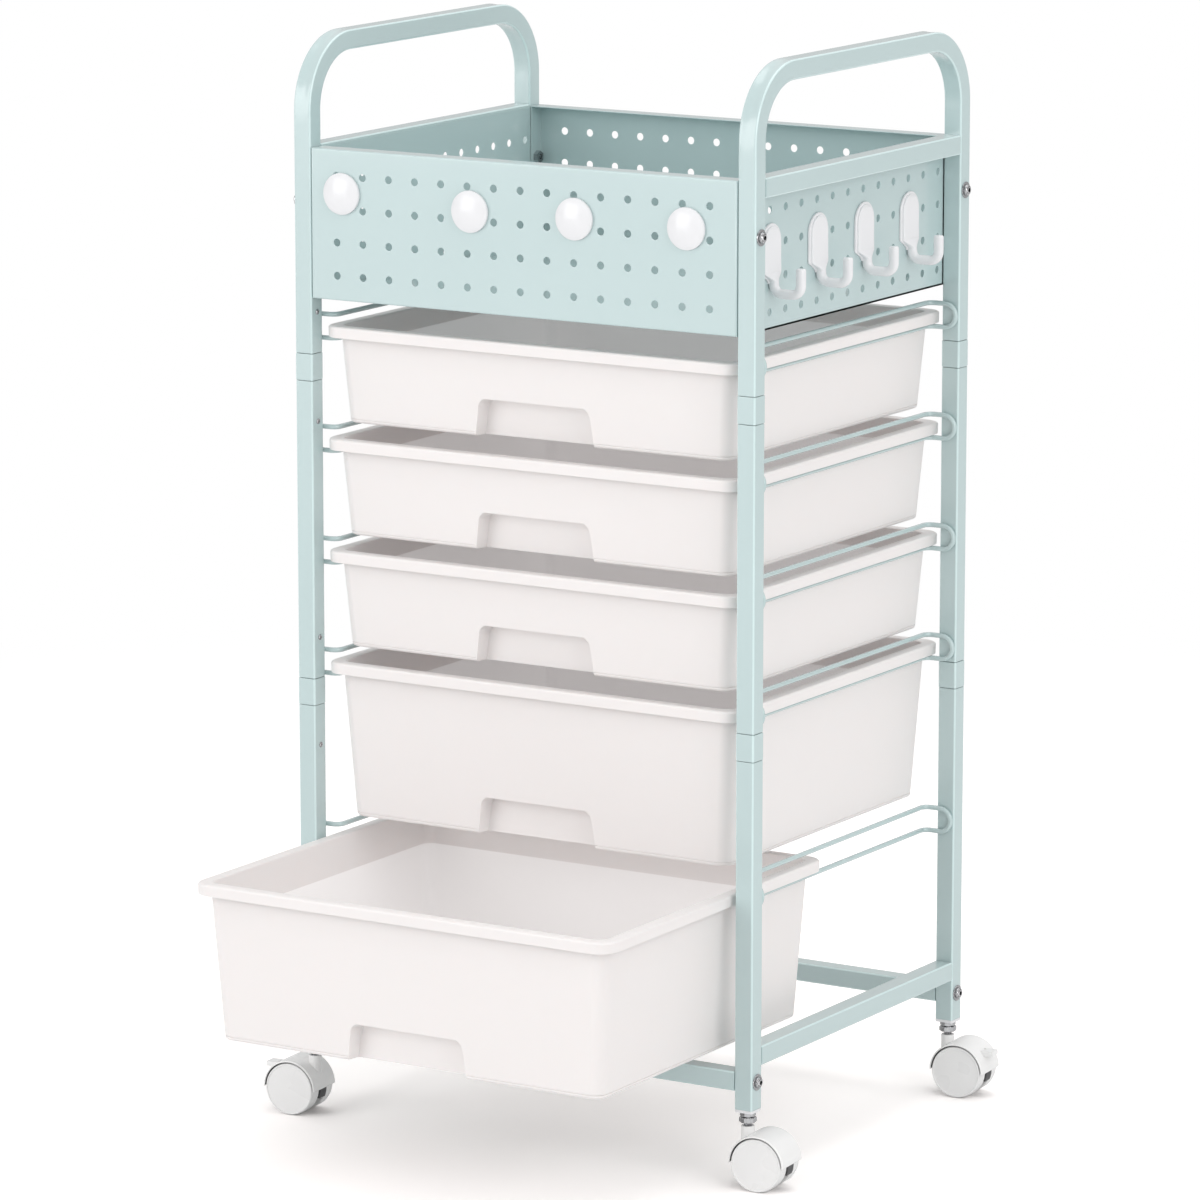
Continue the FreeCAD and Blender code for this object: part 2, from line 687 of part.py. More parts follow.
def build_end_panels():
    """The front and back panels: folded sheet, with flanges as deep as the posts."""
    width = "2 * (%s - Sizes.PanelSideGap)" % INNER_X
    height = "Sizes.PanelHeight"
    middle = "(%s + Sizes.PanelHeight / 2)" % PANEL_BOTTOM
    for end_name, end in ENDS.items():
        node = end_name + "_peg_panel"
        body = new_body(node)
        # The XZ plane's normal points to the front
        face = "%d * Sizes.FrameDepth / 2" % -end
        outer = new_sketch(body, "XZ_Plane", "0", middle, face)
        add_rectangle(outer, width, height)
        pad(body, outer, "Sizes.TubeSize", reverse=end < 0)
        inner = new_sketch(body, "XZ_Plane", "0", middle, "%s + %d * Sizes.SheetThickness" % (face, end))
        add_rectangle(inner, "%s - 2 * Sizes.SheetThickness" % width,
                      "%s - 2 * Sizes.SheetThickness" % height)
        pocket(body, inner, "Sizes.TubeSize", reverse=end > 0)
        across, lowest = first_hole("Sizes.FrontColumns", FRONT_TOP_ROW)
        drill_grid(body, "XZ_Plane", (across, lowest, face), "Sizes.FrontColumns")
        place = ("%d * %s" % (end, POST_Y), BASKET_BOLT_HEIGHT, "0")
        bore(body, "YZ_Plane", place, "Sizes.BoltDiameter + 2 * Sizes.BoltClearance", "Sizes.FrameWidth")
        keep(body, node)


def build_side_panels():
    """The side panels: flat sheet behind the top rail, with a flange inwards at the bottom."""
    length = "2 * (%s - Sizes.SidePanelEndGap)" % INNER_Y
    top = "(%s - Sizes.SidePanelTopStep)" % TOP_RAIL_TOP
    for side_name, side in SIDES.items():
        node = side_name + "_peg_panel"
        body = new_body(node)
        face = "%d * %s" % (side, INNER_X)
        sheet_face = new_sketch(body, "YZ_Plane", "0", "(%s + %s) / 2" % (top, PANEL_BOTTOM), face)
        add_rectangle(sheet_face, length, "%s - %s" % (top, PANEL_BOTTOM))
        pad(body, sheet_face, "Sizes.SheetThickness", reverse=side > 0)
        flange = new_sketch(body, "XY_Plane", "%d * (%s - Sizes.SideFlange / 2)" % (side, INNER_X), "0",
                            PANEL_BOTTOM)
        add_rectangle(flange, "Sizes.SideFlange", length)
        pad(body, flange, "Sizes.SheetThickness")
        across, lowest = first_hole("Sizes.SideColumns", SIDE_TOP_ROW)
        drill_grid(body, "YZ_Plane", (across, lowest, face), "Sizes.SideColumns")
        keep(body, node)


def build_basket_floor():
    """A sheet with a low lip that rests on the panels' bottom flanges."""
    node = "basket_floor"
    body = new_body(node)
    width = "2 * (%s - Sizes.PanelSideGap - Sizes.SheetThickness - Sizes.FloorEdgeGap)" % INNER_X
    depth = "(Sizes.FrameDepth - 2 * Sizes.SheetThickness - 2 * Sizes.FloorEdgeGap)"
    bottom = PANEL_BOTTOM + " + Sizes.SheetThickness"
    outer = new_sketch(body, "XY_Plane", z=bottom)
    add_rectangle(outer, width, depth)
    pad(body, outer, "Sizes.FloorLip")
    inner = new_sketch(body, "XY_Plane", z=bottom + " + Sizes.SheetThickness")
    add_rectangle(inner, "%s - 2 * Sizes.SheetThickness" % width, "%s - 2 * Sizes.SheetThickness" % depth)
    pocket(body, inner, "Sizes.FloorLip", reverse=True)
    keep(body, node)


# Hooks and magnets

def hook_path(body, column):
    """The middle line of a hook's bar: down from the plate, out and up again."""
    path = new_sketch(body, "XZ_Plane", "%s + Sizes.HookBar / 2" % INNER_X,
                      "%s - Sizes.HookPlateHeight / 2" % HOOK_PLATE_CENTRE, "-(%s)" % column)
    reach = value("Sizes.HookArmOffset")
    drop = value("Sizes.HookDrop - Sizes.HookBar / 2")
    bend = value("Sizes.HookBendRadius")
    neck = value("Sizes.HookNeckRise")
    tip = value("Sizes.HookTipRise - Sizes.HookBar / 2")
    lines = [
        (Vector(0, neck, 0), Vector(0, bend - drop, 0)),
        (Vector(bend, -drop, 0), Vector(reach - bend, -drop, 0)),
        (Vector(reach, bend - drop, 0), Vector(reach, tip, 0)),
    ]
    for start, end in lines:
        path.addGeometry(Part.LineSegment(start, end), False)
    for centre_x, start_angle in ((bend, pi), (reach - bend, 1.5 * pi)):
        circle = Part.Circle(Vector(centre_x, bend - drop, 0), Vector(0, 0, 1), bend)
        path.addGeometry(Part.ArcOfCircle(circle, start_angle, start_angle + 0.5 * pi), False)
    for first, first_end, second, second_end in ((0, 2, 3, 1), (3, 2, 1, 1), (1, 2, 4, 1), (4, 2, 2, 1)):
        path.addConstraint(Sketcher.Constraint("Tangent", first, first_end, second, second_end))
    path.addConstraint(Sketcher.Constraint("PointOnObject", 0, 1, -2))
    path.addConstraint(Sketcher.Constraint("Vertical", 0))
    path.addConstraint(Sketcher.Constraint("Horizontal", 1))
    path.addConstraint(Sketcher.Constraint("Vertical", 2))
    path.addConstraint(Sketcher.Constraint("Equal", 3, 4))
    dimension(path, "Bend", "Sizes.HookBendRadius", "Radius", 3)
    dimension(path, "Reach", "Sizes.HookArmOffset", "DistanceX", -1, 1, 2, 2)
    dimension(path, "Neck", "Sizes.HookNeckRise", "DistanceY", -1, 1, 0, 1)
    dimension(path, "Drop", "Sizes.HookDrop - Sizes.HookBar / 2", "DistanceY", 1, 1, -1, 1)
    dimension(path, "Tip", "Sizes.HookTipRise - Sizes.HookBar / 2", "DistanceY", -1, 1, 2, 2)
    return path


def build_hook(number):
    """A hook: a plate with rounded ends, two pegs in the panel's holes and a bent bar."""
    body = new_body("hook_%d" % number)
    first = "-Sizes.HolePitch * (Sizes.SideColumns - 1) / 2"
    step = "Sizes.HookFirstColumn + %d * Sizes.HookColumnStep" % (number - 1)
    column = "%s + Sizes.HolePitch * (%s)" % (first, step)
    plate = new_sketch(body, "YZ_Plane", column, HOOK_PLATE_CENTRE, INNER_X)
    add_rectangle(plate, "Sizes.HookPlateWidth", "Sizes.HookPlateHeight",
                  "Sizes.HookPlateWidth * %s" % END_ROUNDING)
    plate_pad = pad(body, plate, "Sizes.HookPlateThickness")
    fillet(body, plate_pad, "Sizes.HookPlateRound",
           lambda edge: edge.BoundBox.XMin > value(INNER_X) + NEAR)
    path = hook_path(body, column)
    bar_section = new_sketch(body, "XY_Plane", "%s + Sizes.HookBar / 2" % INNER_X, column,
                             "%s - Sizes.HookPlateHeight / 2 + Sizes.HookNeckRise" % HOOK_PLATE_CENTRE)
    add_circle(bar_section, "Sizes.HookBar")
    bar = body.newObject("PartDesign::AdditivePipe", body.Name + "_bar")
    bar.Profile = bar_section
    bar.Spine = (path, [""])
    tip = body.newObject("PartDesign::AdditiveSphere", body.Name + "_tip")
    tip.AttachmentSupport = (origin_plane(body, "XY_Plane"), [""])
    tip.MapMode = "FlatFace"
    bind(tip, Radius="Sizes.HookBar / 2",
         AttachmentOffset__Base__x="%s + Sizes.HookBar / 2 + Sizes.HookArmOffset" % INNER_X,
         AttachmentOffset__Base__y=column,
         AttachmentOffset__Base__z=HOOK_PLATE_CENTRE + " - Sizes.HookPlateHeight / 2"
                                   " + Sizes.HookTipRise - Sizes.HookBar / 2")
    for row in (1, 2):
        height = "%s - %d * Sizes.HoleRowPitch" % (SIDE_TOP_ROW, row)
        peg = new_sketch(body, "YZ_Plane", column, height, INNER_X)
        add_circle(peg, "Sizes.PegDiameter")
        pad(body, peg, "Sizes.SheetThickness + Sizes.PegEndGap", reverse=True)
    return body


def build_hooks():
    count = int(value("Sizes.HookCount"))
    keep(group("hooks", [build_hook(number) for number in range(1, count + 1)]), "hooks")


def build_magnets():
    """Round magnets with a domed face, flat against the front panel."""
    magnets = []
    radius = "(Sizes.MagnetDiameter / 2)"
    dome_radius = "(%s * %s + Sizes.MagnetDome * Sizes.MagnetDome) / (2 * Sizes.MagnetDome)" % (radius, radius)
    face = "-Sizes.FrameDepth / 2"
    for name in magnet_places:
        across = "Sizes.%sAcross" % name
        height = "(%s - Sizes.%sDrop)" % (PANEL_TOP, name)
        disc = doc.addObject("Part::Cylinder", name + "_disc")
        disc.Placement.Rotation = FreeCAD.Rotation(Vector(1, 0, 0), 90)
        bind(disc, Radius=radius, Height="Sizes.MagnetEdge + Sizes.MagnetDome",
             Placement__Base__x=across, Placement__Base__y=face, Placement__Base__z=height)
        ball = doc.addObject("Part::Sphere", name + "_dome")
        centre = "%s - Sizes.MagnetEdge - Sizes.MagnetDome + %s" % (face, dome_radius)
        bind(ball, Radius=dome_radius, Placement__Base__x=across, Placement__Base__y=centre,
             Placement__Base__z=height)
        magnet = doc.addObject("Part::MultiCommon", name)
        magnet.Shapes = [disc, ball]
        magnets.append(magnet)
    keep(group("magnets", magnets), "magnets")


# Drawers and their runners

RIM_WIDTH = "2 * (%s - Sizes.RimSideGap)" % INNER_X
RIM_DEPTH = "(Sizes.FrameDepth - Sizes.RimFrontSetback - Sizes.RimBackSetback)"
RIM_CENTRE_Y = "(Sizes.RimFrontSetback - Sizes.RimBackSetback) / 2"
RUNNER_X = "(%s - Sizes.WireInset)" % INNER_X
DEEP_DRAWERS = (4, 5)
# The four upper drawers hang at one pitch, which fills the height from the lowest drawer to the basket
TOP_LIP = "(%s - Sizes.TopLipDrop)" % PANEL_BOTTOM
DRAWER_PITCH = "((%s - Sizes.LowestLip - Sizes.DeepStep) / 3)" % TOP_LIP
SHALLOW_DEPTH = "(%s - Sizes.DrawerGap)" % DRAWER_PITCH


def lip_height(number):
    """The height of the lower edge of a drawer's lip. Drawer 1 is the top one."""
    if number == 5:
        return "Sizes.LowestLip"
    return "(%s - %d * %s)" % (TOP_LIP, number - 1, DRAWER_PITCH)


def wedge(body, kind, level_low, inset_low, level_high, inset_high):
    """A block with sloping sides between two levels, inset from the rim by different amounts."""
    feature = body.newObject("PartDesign::%sWedge" % kind, body.Name + "_" + kind.lower())
    feature.AttachmentSupport = (origin_plane(body, "XZ_Plane"), [""])
    feature.MapMode = "FlatFace"
    half_width = "(%s / 2)" % RIM_WIDTH
    half_depth = "(%s / 2)" % RIM_DEPTH
    # The plane's normal points to the front, so the rim's middle is moved the other way along it
    return bind(feature, AttachmentOffset__Base__z="-(%s)" % RIM_CENTRE_Y,
                Xmin="-(%s - (%s))" % (half_width, inset_low), Xmax="%s - (%s)" % (half_width, inset_low),
                Zmin="-(%s - (%s))" % (half_depth, inset_low), Zmax="%s - (%s)" % (half_depth, inset_low),
                X2min="-(%s - (%s))" % (half_width, inset_high), X2max="%s - (%s)" % (half_width, inset_high),
                Z2min="-(%s - (%s))" % (half_depth, inset_high), Z2max="%s - (%s)" % (half_depth, inset_high),
                Ymin=level_low, Ymax=level_high)


def is_upright(edge):
    box = edge.BoundBox
    return box.ZLength > LONG * max(box.XLength, box.YLength)


def lies_at(edge, level):
    return max(abs(edge.BoundBox.ZMin - level), abs(edge.BoundBox.ZMax - level)) < NEAR


def add_grip_outline(sketch, margin):
    """The finger recess seen from the front: wider at the bottom, from the floor to its top edge."""
    half_top = "(Sizes.GripTopWidth / 2 + %s)" % margin
    half_bottom = "(Sizes.GripBottomWidth / 2 + %s)" % margin
    rise = "(Sizes.GripHeight + %s)" % margin
    add_outline(sketch, [
        ("-" + half_bottom, "0"),
        (half_bottom, "0"),
        (half_top, rise),
        ("-" + half_top, rise),
    ])


def is_grip_corner(bottom, margin):
    """Finds the two edges that run inwards from the upper corners of a finger recess."""
    half_top = value("Sizes.GripTopWidth / 2 + " + margin)
    level = value("%s + Sizes.GripHeight + %s" % (bottom, margin))

    def choose(edge):
        middle = edge.CenterOfMass
        box = edge.BoundBox
        inward = box.YLength > LONG * max(box.XLength, box.ZLength)
        return inward and abs(abs(middle.x) - half_top) < NEAR and abs(middle.z - level) < NEAR

    return choose


def build_drawer(number):
    node = "drawer_%d" % number
    body = new_body(node)
    lip = lip_height(number)
    depth = "Sizes.DeepDepth" if number in DEEP_DRAWERS else SHALLOW_DEPTH
    draft = "Sizes.DeepDraft" if number in DEEP_DRAWERS else "Sizes.ShallowDraft"
    bottom = "(%s - %s)" % (lip, depth)
    rim_top = "(%s + Sizes.LipHeight)" % lip
    inner_corner = "Sizes.WallCorner - Sizes.DrawerWall"
    floor_level = value(bottom)
    cavity_level = value(bottom + " + Sizes.DrawerWall")
    top_level = value(rim_top)

    tub = wedge(body, "Additive", bottom, "Sizes.WallInset + " + draft, lip, "Sizes.WallInset")
    rounded_tub = fillet(body, tub, "Sizes.WallCorner", is_upright)
    fillet(body, rounded_tub, "Sizes.BottomFillet", lambda edge: lies_at(edge, floor_level))

    rim = new_sketch(body, "XY_Plane", "0", RIM_CENTRE_Y, lip)
    add_rectangle(rim, RIM_WIDTH, RIM_DEPTH, "Sizes.RimCorner")
    rim_pad = pad(body, rim, "Sizes.LipHeight")
    fillet(body, rim_pad, "Sizes.LipRound", lambda edge: lies_at(edge, top_level))

    channel = new_sketch(body, "XY_Plane", "0", RIM_CENTRE_Y, lip)
    add_rectangle(channel, "%s - 2 * Sizes.LipThickness" % RIM_WIDTH,
                  "%s - 2 * Sizes.LipThickness" % RIM_DEPTH, "Sizes.RimCorner - Sizes.LipThickness")
    add_rectangle(channel, "%s - 2 * (Sizes.WallInset - Sizes.WallStep)" % RIM_WIDTH,
                  "%s - 2 * (Sizes.WallInset - Sizes.WallStep)" % RIM_DEPTH, "Sizes.WallCorner + Sizes.WallStep")
    pocket(body, channel, "Sizes.LipHeight - Sizes.DrawerWall", reverse=True)

    # The finger recess is a dent in the front wall, so the cavity steps back round it
    dent_face = "(Sizes.FrameDepth / 2 - Sizes.RimFrontSetback - Sizes.WallInset - %s - Sizes.GripDepth)" % draft
    dent = new_sketch(body, "XZ_Plane", "0", bottom, dent_face)
    add_grip_outline(dent, "0")
    cut = pocket(body, dent, "2 * Sizes.GripDepth + " + draft, reverse=True)
    fillet(body, cut, "Sizes.GripCorner", is_grip_corner(bottom, "0"))

    # The cavity is a body of its own, so that its corners are round before it is cut out
    cavity = new_body(node + "_cavity")
    wall_inset = "Sizes.WallInset + Sizes.DrawerWall"
    inside = wedge(cavity, "Additive", bottom + " + Sizes.DrawerWall", "%s + %s" % (wall_inset, draft),
                   rim_top, wall_inset)
    rounded_inside = fillet(cavity, inside, inner_corner, is_upright)
    fillet(cavity, rounded_inside, "Sizes.BottomFillet - Sizes.DrawerWall",
           lambda edge: lies_at(edge, cavity_level))
    backing = new_sketch(cavity, "XZ_Plane", "0", bottom, dent_face + " - Sizes.DrawerWall")
    add_grip_outline(backing, "Sizes.DrawerWall")
    step = pocket(cavity, backing, "2 * Sizes.GripDepth + " + draft, reverse=True)
    fillet(cavity, step, "Sizes.GripCorner + Sizes.DrawerWall", is_grip_corner(bottom, "Sizes.DrawerWall"))
    hollow = body.newObject("PartDesign::Boolean", node + "_hollow")
    hollow.Type = "Cut"
    hollow.setObjects([cavity])

    glide_length = "%s - 2 * Sizes.RimCorner - 2 * Sizes.WallInset" % RIM_DEPTH
    for side in SIDES.values():
        glide = new_sketch(body, "XY_Plane", "%d * %s" % (side, RUNNER_X), RIM_CENTRE_Y, lip)
        add_rectangle(glide, "Sizes.GlideThickness", glide_length)
        pad(body, glide, "Sizes.LipHeight - Sizes.DrawerWall / 2")

    if number == 5:
        bind(body, Placement__Base__y="-Sizes.LowestPull")
    keep(body, node)


def quarter_bend(corner, before, after, radius):
    """An arc that rounds the corner between two straight directions at right angles."""
    start = corner - before * radius
    end = corner + after * radius
    middle = start + after * radius + (before - after) * (radius / 2 ** 0.5)
    return Part.Arc(start, middle, end).toShape(), start, end


def build_runner(side_name, side, number):
    """A closed wire loop: two runs along the drawer, bent outward to a half turn at each post."""
    wire_radius = value("Sizes.WireDiameter") / 2
    run_x = side * value(RUNNER_X)
    hook_x = side * (value(INNER_X) + value("Sizes.WireHookOut"))
    jog_y = value(INNER_Y) - wire_radius - value("Sizes.WirePostGap")
    low = value(lip_height(number)) - wire_radius - value("Sizes.RunClearance")
    high = low + value("Sizes.WireSpacing")
    bend = value("Sizes.WireBend")
    outward = Vector(side, 0, 0)
    forward = Vector(0, -1, 0)

    low_bend, low_start, low_end = quarter_bend(Vector(run_x, -jog_y, low), forward, outward, bend)
    high_bend, high_start, high_end = quarter_bend(Vector(run_x, -jog_y, high), outward * -1, forward * -1, bend)
    turn_low = Vector(hook_x, -jog_y, low)
    turn_high = Vector(hook_x, -jog_y, high)
    turn_tip = (turn_low + turn_high) * 0.5 + outward * ((high - low) / 2)
    edges = [
        Part.LineSegment(Vector(run_x, 0, low), low_start).toShape(),
        low_bend,
        Part.LineSegment(low_end, turn_low).toShape(),
        Part.Arc(turn_low, turn_tip, turn_high).toShape(),
        Part.LineSegment(turn_high, high_start).toShape(),
        high_bend,
        Part.LineSegment(high_end, Vector(run_x, 0, high)).toShape(),
    ]
    spine = Part.Wire(edges)
    section = Part.Wire(Part.makeCircle(wire_radius, Vector(run_x, 0, low), Vector(0, 1, 0)))
    front_half = spine.makePipeShell([section], True, True)
    rear_half = front_half.mirror(Vector(0, 0, 0), Vector(0, 1, 0))
    node = "%s_runner_%d" % (side_name, number)
    runner = doc.addObject("Part::Feature", node)
    runner.Shape = front_half.fuse(rear_half).removeSplitter()
    keep(runner, node)


# Casters. Each is drawn round its stem, trailing to +X, and then turned and moved to its post.
# Each entry gives the post's side and end and the turn in degrees before the common extra turn.

CASTERS = {
    "front_left": (-1, -1, 180),
    "front_right": (1, -1, 0),
    "rear_left": (-1, 1, 180),
    "rear_right": (1, 1, 0),
}
BRAKED = ("front_left", "rear_right")
WHEEL_INNER = "(Sizes.WheelGap / 2)"
WHEEL_OUTER = "(Sizes.CasterWidth / 2)"


def place_caster_piece(item, caster):
    side, end, turn = CASTERS[caster]
    item.Placement.Rotation = FreeCAD.Rotation(Vector(0, 0, 1), turn)
    bind(item, Placement__Base__x="%d * %s" % (side, POST_X), Placement__Base__y="%d * %s" % (end, POST_Y),
         Placement__Rotation__Angle="%d + Sizes.CasterTurn" % turn)


def build_nut(name, bottom, top, across):
    """A hexagon nut on the stem."""
    body = new_body(name)
    outline = new_sketch(body, "XY_Plane", z=bottom)
    add_hexagon(outline, across)
    add_circle(outline, "Sizes.StemDiameter + 2 * Sizes.PressClearance")
    pad(body, outline, "%s - %s" % (top, bottom))
    return body


def build_stem(caster):
    """The stem that turns into the post's plug, with its lock nut and its own hexagon."""
    rod = doc.addObject("Part::Cylinder", caster + "_stem_rod")
    bind(rod, Radius="Sizes.StemDiameter / 2",
         Height="Sizes.PostBottom + Sizes.StemReach - Sizes.StemBottom", Placement__Base__z="Sizes.StemBottom")
    upper = build_nut(caster + "_upper_nut", "Sizes.UpperNutBottom", "Sizes.UpperNutTop",
                      "Sizes.UpperNutAcross")
    lower = build_nut(caster + "_lower_nut", "Sizes.LowerNutBottom", "Sizes.LowerNutTop",
                      "Sizes.LowerNutAcross")
    stem = group(caster + "_stem", [rod, upper, lower])
    place_caster_piece(stem, caster)
    keep(stem, caster + "_stem")


def build_wheels(caster):
    """Two wheels pressed onto one axle."""
    wheel = new_body(caster + "_outer_wheel")
    profile = new_sketch(wheel, "XY_Plane", "Sizes.CasterTrail", "0", "Sizes.WheelRadius")
    bore_radius = "(Sizes.AxleDiameter / 2 + Sizes.PressClearance)"
    add_outline(profile, [
        (bore_radius, WHEEL_INNER),
        ("Sizes.WheelRadius - Sizes.WheelRound", WHEEL_INNER),
        ("Sizes.WheelRadius", WHEEL_INNER + " + Sizes.WheelRound"),
        ("Sizes.WheelRadius", WHEEL_OUTER + " - Sizes.WheelRound"),
        ("Sizes.WheelRadius - Sizes.WheelRound", WHEEL_OUTER),
        ("Sizes.HubRecessRadius", WHEEL_OUTER),
        ("Sizes.HubRecessRadius - Sizes.HubRecess", WHEEL_OUTER + " - Sizes.HubRecess"),
        ("Sizes.HubCapRadius", WHEEL_OUTER + " - Sizes.HubRecess"),
        (bore_radius, WHEEL_OUTER + " - Sizes.HubRecess"),
    ])
    revolve(wheel, profile)
    axle = doc.addObject("Part::Cylinder", caster + "_axle")
    axle.Placement.Rotation = FreeCAD.Rotation(Vector(1, 0, 0), 90)
    half_axle = "(%s - Sizes.AxleEndGap)" % WHEEL_OUTER
    bind(axle, Radius="Sizes.AxleDiameter / 2", Height="2 * " + half_axle,
         Placement__Base__x="Sizes.CasterTrail", Placement__Base__y=half_axle,
         Placement__Base__z="Sizes.WheelRadius")
    wheels = group(caster + "_wheels", [wheel, mirror(wheel, Vector(0, 1, 0)), axle])
    place_caster_piece(wheels, caster)
    keep(wheels, caster + "_wheels")


def build_hood(caster):
    """The hood over the wheels, with the web between them and the sleeve round the stem."""
    node = caster + "_hood"
    body = new_body(node)
    shell = new_sketch(body, "XY_Plane", "Sizes.CasterTrail", "0", "Sizes.WheelRadius")
    inner_radius = "(Sizes.HoodRadius - Sizes.HoodThickness)"
    add_outline(shell, [
        (inner_radius, "-" + WHEEL_OUTER),
        ("Sizes.HoodRadius", "-" + WHEEL_OUTER),
        ("Sizes.HoodRadius", WHEEL_OUTER),
        (inner_radius, WHEEL_OUTER),
    ])
    revolve(body, shell, "180", reverse=True)
    if caster in BRAKED:
        notch = new_sketch(body, "YZ_Plane", "0", "Sizes.WheelRadius + Sizes.HoodRadius / 2 + Sizes.NotchDrop",
                           "Sizes.CasterTrail + Sizes.NotchStart")
        add_rectangle(notch, "Sizes.WheelGap", "Sizes.HoodRadius")
        pocket(body, notch, "Sizes.HoodRadius", reverse=True)
    web = new_sketch(body, "XZ_Plane", "Sizes.CasterTrail", "Sizes.WheelRadius")
    add_circle(web, "2 * Sizes.HoodRadius - Sizes.HoodThickness")
    pad(body, web, "Sizes.WebThickness", midplane=True)
    below = new_sketch(body, "XZ_Plane", "Sizes.CasterTrail",
                       "Sizes.WheelRadius - Sizes.WebDrop - Sizes.HoodRadius")
    add_rectangle(below, "2 * Sizes.HoodRadius", "2 * Sizes.HoodRadius")
    pocket(body, below, "2 * Sizes.WebThickness", midplane=True)
    behind = new_sketch(body, "XZ_Plane", "Sizes.CasterTrail + Sizes.WebReach + Sizes.HoodRadius / 2",
                        "Sizes.WheelRadius")
    add_rectangle(behind, "Sizes.HoodRadius",
                  "2 * (Sizes.LeverPivotRise + Sizes.LeverEar + Sizes.LeverWebGap)")
    pocket(body, behind, "Sizes.WebThickness", midplane=True)
    sleeve = new_sketch(body, "XY_Plane", z="Sizes.SleeveBottom")
    add_circle(sleeve, "Sizes.SleeveDiameter")
    pad(body, sleeve, "Sizes.SleeveTop - Sizes.SleeveBottom")
    stem_place = ("0", "0", "Sizes.SleeveTop")
    bore(body, "XY_Plane", stem_place, "Sizes.StemDiameter + 2 * Sizes.ShaftClearance",
         "2 * (Sizes.SleeveTop - Sizes.StemBottom + Sizes.StemEndGap)")
    bore(body, "XZ_Plane", ("Sizes.CasterTrail", "Sizes.WheelRadius", "0"),
         "Sizes.AxleDiameter + 2 * Sizes.ShaftClearance", "Sizes.CasterWidth")
    if caster in BRAKED:
        bore(body, "XZ_Plane", ("Sizes.CasterTrail + Sizes.LeverPivotReach",
                                "Sizes.WheelRadius + Sizes.LeverPivotRise", "0"),
             "Sizes.LeverPin + 2 * Sizes.ShaftClearance", "Sizes.WebThickness * 2")
    place_caster_piece(body, caster)
    keep(body, node)


def build_brake(caster):
    """A brake lever that straddles the web on its pin and reaches out through the hood's notch."""
    node = caster + "_brake"
    body = new_body(node)
    pivot = ("Sizes.CasterTrail + Sizes.LeverPivotReach", "Sizes.WheelRadius + Sizes.LeverPivotRise")
    reach = "(Sizes.LeverReach - Sizes.LeverPivotReach)"
    ear = new_sketch(body, "XZ_Plane", *pivot)
    add_circle(ear, "2 * Sizes.LeverEar")
    pad(body, ear, "Sizes.LeverWidth", midplane=True)
    tab = new_sketch(body, "XZ_Plane", *pivot)
    add_outline(tab, [
        ("0", "-Sizes.LeverRootDrop"),
        (reach, "-Sizes.LeverTipDrop"),
        (reach, "Sizes.LeverEar"),
        ("0", "Sizes.LeverEar"),
    ])
    pad(body, tab, "Sizes.LeverWidth", midplane=True)
    slot_reach = "(Sizes.LeverSlotReach - Sizes.LeverPivotReach)"
    slot = new_sketch(body, "XZ_Plane", "%s + %s - Sizes.LeverReach / 2" % (pivot[0], slot_reach), pivot[1])
    add_rectangle(slot, "Sizes.LeverReach", "3 * Sizes.LeverEar")
    pocket(body, slot, "Sizes.WebThickness + 2 * Sizes.LeverSideGap", midplane=True)
    pin = new_sketch(body, "XZ_Plane", *pivot)
    add_circle(pin, "Sizes.LeverPin")
    pad(body, pin, "Sizes.LeverWidth", midplane=True)
    place_caster_piece(body, caster)
    keep(body, node)


build_handle_frames()
build_posts()
build_rails()
build_cross_bars()
build_connectors("lower_connectors", LOWER_JOINT, "Sizes.LowerCollarBottom")
build_connectors("upper_connectors", UPPER_JOINT, UPPER_COLLAR_BOTTOM)
build_connector_screws()
build_frame_bolts()
build_washers()
build_basket_nuts()
build_post_plugs()
build_end_panels()
build_side_panels()
build_basket_floor()
build_hooks()
build_magnets()
for drawer in range(1, 6):
    build_drawer(drawer)
    for side_name, side in SIDES.items():
        build_runner(side_name, side, drawer)
for caster in CASTERS:
    build_stem(caster)
    build_wheels(caster)
    build_hood(caster)
    if caster in BRAKED:
        build_brake(caster)
doc.recompute()

# Every object and every finished shape is checked before any file is written
for item in doc.Objects:
    if "Invalid" in item.State or "Error" in item.State:
        raise RuntimeError("%s could not be built: %s" % (item.Label, item.State))
for item in nodes:
    if item.Shape.isNull() or not item.Shape.isValid():
        raise RuntimeError("%s has no valid shape" % item.Label)

os.makedirs("parts", exist_ok=True)
for item in nodes:
    item.Shape.exportStep("parts/%s.step" % item.Label)
print("%d nodes" % len(nodes))
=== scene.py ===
from math import acos, atan2, cos, hypot, pi, radians, sin, sqrt

import bmesh
import bpy
from mathutils import Matrix, Vector


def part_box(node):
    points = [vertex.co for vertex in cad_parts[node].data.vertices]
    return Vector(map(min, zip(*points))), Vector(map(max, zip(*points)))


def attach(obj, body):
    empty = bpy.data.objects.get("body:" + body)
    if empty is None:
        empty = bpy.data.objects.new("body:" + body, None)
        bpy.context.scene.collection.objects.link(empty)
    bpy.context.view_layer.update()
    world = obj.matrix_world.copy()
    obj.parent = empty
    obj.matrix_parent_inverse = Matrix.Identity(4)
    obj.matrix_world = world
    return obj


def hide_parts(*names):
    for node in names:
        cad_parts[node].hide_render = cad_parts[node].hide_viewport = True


# Looks of a rolling storage cart: frame tubes, perforated basket, drawers on wire runners and
# twin-wheel casters. Lengths are in metres; MM turns a size in millimetres into one.

MM = 0.001

